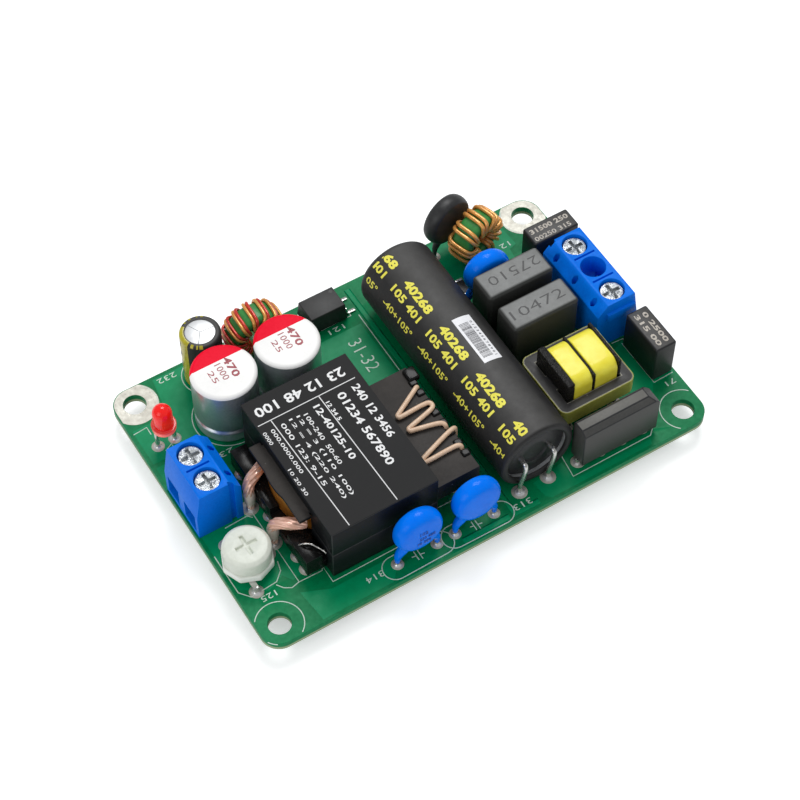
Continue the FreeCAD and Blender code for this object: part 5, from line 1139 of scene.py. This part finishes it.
# The wire goes round the core in turns from the angle given, and from its tails straight down to the board.
def woundWire(name, ring, angle, startSpot, endSpot, half=0, wholeTurn=0):
    lift = ring["wire"] + 0.03
    outer, inner = ring["radius"] + lift, ring["bore"] - lift
    depth, bend, step = ring["thickness"] / 2 + lift, 0.55, ring["pitch"]
    stops = []
    for turn in range(ring["turns"]):
        if turn:
            angle += step + ringDice.uniform(-1.4, 1.4)
        loose = ringDice.uniform(0, 0.06)
        stops += [(outer + loose, bend - depth, angle), (outer + loose, depth - bend, angle + step * 0.02),
                  (outer - bend, depth + loose, angle + step * 0.12),
                  (inner + bend, depth, angle + step * 0.38), (inner, depth - bend, angle + step * 0.48),
                  (inner, bend - depth, angle + step * 0.52), (inner + bend, -depth, angle + step * 0.62),
                  (outer - bend, -depth - loose, angle + step * 0.88)]
    angle += step
    stops.append((outer, bend - depth, angle))
    side = -1
    if wholeTurn:
        stops.append((outer, depth - bend, angle))
        side = 1
    route = [(reach * math.cos(math.radians(turned)), across, reach * math.sin(math.radians(turned)))
             for reach, across, turned in stops]
    floor = -2.5 - ring["centre"][2]
    endZ = min(outer * math.sin(math.radians(angle)), -ring["radius"] + 0.6)
    route = [(*startSpot, floor), (*startSpot, -ring["radius"] - 0.9)] + route
    route += [(endSpot[0], side * depth, endZ - 0.2), (*endSpot, endZ - 0.9), (*endSpot, floor)]
    swing = Matrix.Rotation(math.radians(ring["turn"] + 180 * half), 3, "Z")
    middle = Vector(ring["centre"])
    return runWire(name, [middle + swing @ Vector(spot) for spot in route], ring["wire"], sides=4,
                   fineness=3)


def ringTails(ring):
    outer, front = ring["radius"] + ring["wire"] + 0.03, -ring["thickness"] / 2 - ring["wire"] - 0.03
    return [(outer * math.cos(math.radians(ring["first"])), front),
            (outer * math.cos(math.radians(ring["last"])), front - 0.95)]


for prefix, name in (("input_inductor", "inputRing"), ("output_inductor", "outputRing")):
    dressNode(prefix + "_core", name, rings[prefix]["round"], 4, "ringGreen", smooth=60)
# Both wires of the input ring run side by side round the whole core, from its front to its back.
inputRing = rings["input_inductor"]
near, far = ringTails(inputRing)
inputWires = [woundWire("inputRingWire", inputRing, 259, near, (-far[0], -far[1]), wholeTurn=1),
              woundWire("inputRingWire", inputRing, 245, far, (-near[0], -near[1]), wholeTurn=1)]
dress(joinAll("inputRingWires", inputWires), "copperWire", ["input_inductor_windings"],
      smooth=60)
outputRing = rings["output_inductor"]
near, far = ringTails(outputRing)
for name, start, half, finish in (("outputRingCopper", 247, 0, "copperWire"),
                                  ("outputRingRed", 239, 1, "redWire")):
    dress(woundWire(name, outputRing, start, near, far, half), finish,
          ["output_inductor_winding"], smooth=60)
print("ring chokes ready")

# Suppression capacitors with engraved numbers
dressNode("suppression_capacitors", "boxCapacitors", 0.32, 3, "boxGrey", smooth=45)
boxRows = [("27510", 27.1, 7.35, 180, 8.9, 1.75, -0.008), ("10472", 17.6, -1.5, 0, 9.2, 1.75, -0.008)]
boxNumbers = printNumbers("boxNumbers", boxRows, boxOf("suppression_capacitors")[1].z)
dress(boxNumbers, "boxEngrave", smooth=0)

# Fuses with rows of pale numbers
dressNode("fuses", "fusePair", 0.14, 2, "fuseBlack", rim="coreEdge")
fuseRows = [("31500 250", 30.4, 12.95, 0, 6.9, 0.95, 0.03), ("00250 315", 30.3, 11.45, 0, 6.6, 0.85, 0.02),
            ("0 2500", 36.1, -8.3, -90, 6.3, 0.85, 0.03), ("315 00", 34.75, -8.2, -90, 6.5, 0.85, 0.03)]
dress(printNumbers("fuseNumbers", fuseRows, boxOf("fuses")[1].z + 0.01), "printPale", smooth=0)
print("boxes ready")

# Discs on edge: a turned lens, and coated legs that bend down from its lower edge to the leads
discLook = {"radius": 3.9, "thickness": 3.2, "edge": 1.15, "legs": 3.35, "legFoot": 2.35, "height": 8.6}
discPlaces = ((-12.4, -22.5), (-2.6, -22.5), (21, 11.3))


def lensProfile(radius, thickness, edge):
    half = thickness / 2
    lens = [(0, -half)]
    lens += [(radius - edge + edge * math.cos(math.radians(turn)),
              half * math.sin(math.radians(turn)) * 0.96)
             for turn in range(-75, 90, 15)]
    return lens + [(0, half)]


def coatedDisc(name, centre, radius, thickness, edge, legs, foot, swing=0, legRadius=0.62):
    lens = turnProfile(name, lensProfile(radius, thickness, edge), (0, 0, 0), 72, tilt=-90)
    pieces = [modify(lens, "SUBSURF", levels=1, render_levels=1)]
    low = foot - centre[2]
    for side in (-1, 1):
        route = [(side * legs * 0.45, 0, -radius * 0.6), (side * legs * 0.7, 0, -radius * 0.88),
                 (side * legs * 0.93, 0, -radius * 1.12), (side * legs, 0, low * 0.82),
                 (side * legs, 0, low)]
        pieces.append(runWire("coatedLeg", route, legRadius, radii=(1.5, 1.35, 1.05, 0.86, 0.62), sides=6,
                              fineness=5))
    return place(joinAll(name, pieces), centre, swing)


discs = [coatedDisc("blueDisc", (x, y, discLook["height"]), discLook["radius"], discLook["thickness"],
                    discLook["edge"], discLook["legs"], discLook["legFoot"]) for x, y in discPlaces]
dress(joinAll("blueDiscs", discs), "discBlue", ["disc_capacitors"], smooth=70)
discRows = (("102", -0.5, 8.9, 1.3, 0.75), ("250 400", -0.6, 7.75, 2.6, 0.7),
            ("10 300", -0.9, 6.7, 2.2, 0.65))
discMarks = []
for text, x, z, length, tall in discRows:
    mark = flatMark(text, length, tall, 0.004, 0.02)
    mark.rotation_euler.x = math.radians(90)
    mark.location = Vector((discPlaces[0][0] + x, discPlaces[0][1] - discLook["thickness"] / 2, z)) * mm
    discMarks.append(settlePlace(mark))
dress(joinAll("discPrint", discMarks), "printFaint", smooth=0)
thermistor = coatedDisc("blackDisc", (21, 22.9, 8.9), 4.3, 2.8, 0.75, 2.5, 2.35, swing=14, legRadius=0.5)
dress(thermistor, "discBlack", ["thermistor"], smooth=70)
print("discs ready")

# Bridge rectifier, optocoupler and the chips on both faces
dressNode("bridge_rectifier", "bridge", 0.14, 2, "slabGrey", rim="coreEdge")
dressNode("optocoupler", "coupler", 0.14, 2, "chipGrey")
couplerHigh = boxOf("optocoupler")[1]
dotLook = {"inset": 0.95, "radius": 0.32, "thickness": 0.02, "edge": 0.008}
dot = addRound("couplerDot", (couplerHigh.x - dotLook["inset"], couplerHigh.y - dotLook["inset"],
                              couplerHigh.z),
               dotLook["radius"], dotLook["thickness"], 24)
dress(soften(dot, dotLook["edge"], 1), "mouldBlack")
chipPieces = (
    ("package_leads", "packageLeads", 0.04, "wireTin", "lead_wire"),
    ("controller_chips", "controllerChips", 0.08, "chipGrey", "black_moulding"),
    ("power_transistors", "powerTransistors", 0.1, "chipGrey", "black_moulding"),
    ("chip_resistors", "chipResistors", 0.05, "chipDark", "chip_body"),
    ("chip_capacitors", "chipCapacitors", 0.06, "chipTan", "chip_body"),
    ("chip_terminations", "chipEnds", 0.06, "solderBright", "lead_wire"),
)
for node, name, edge, finish, slotName in chipPieces:
    dressNode(node, name, edge, 2, finish)
print("chips ready")
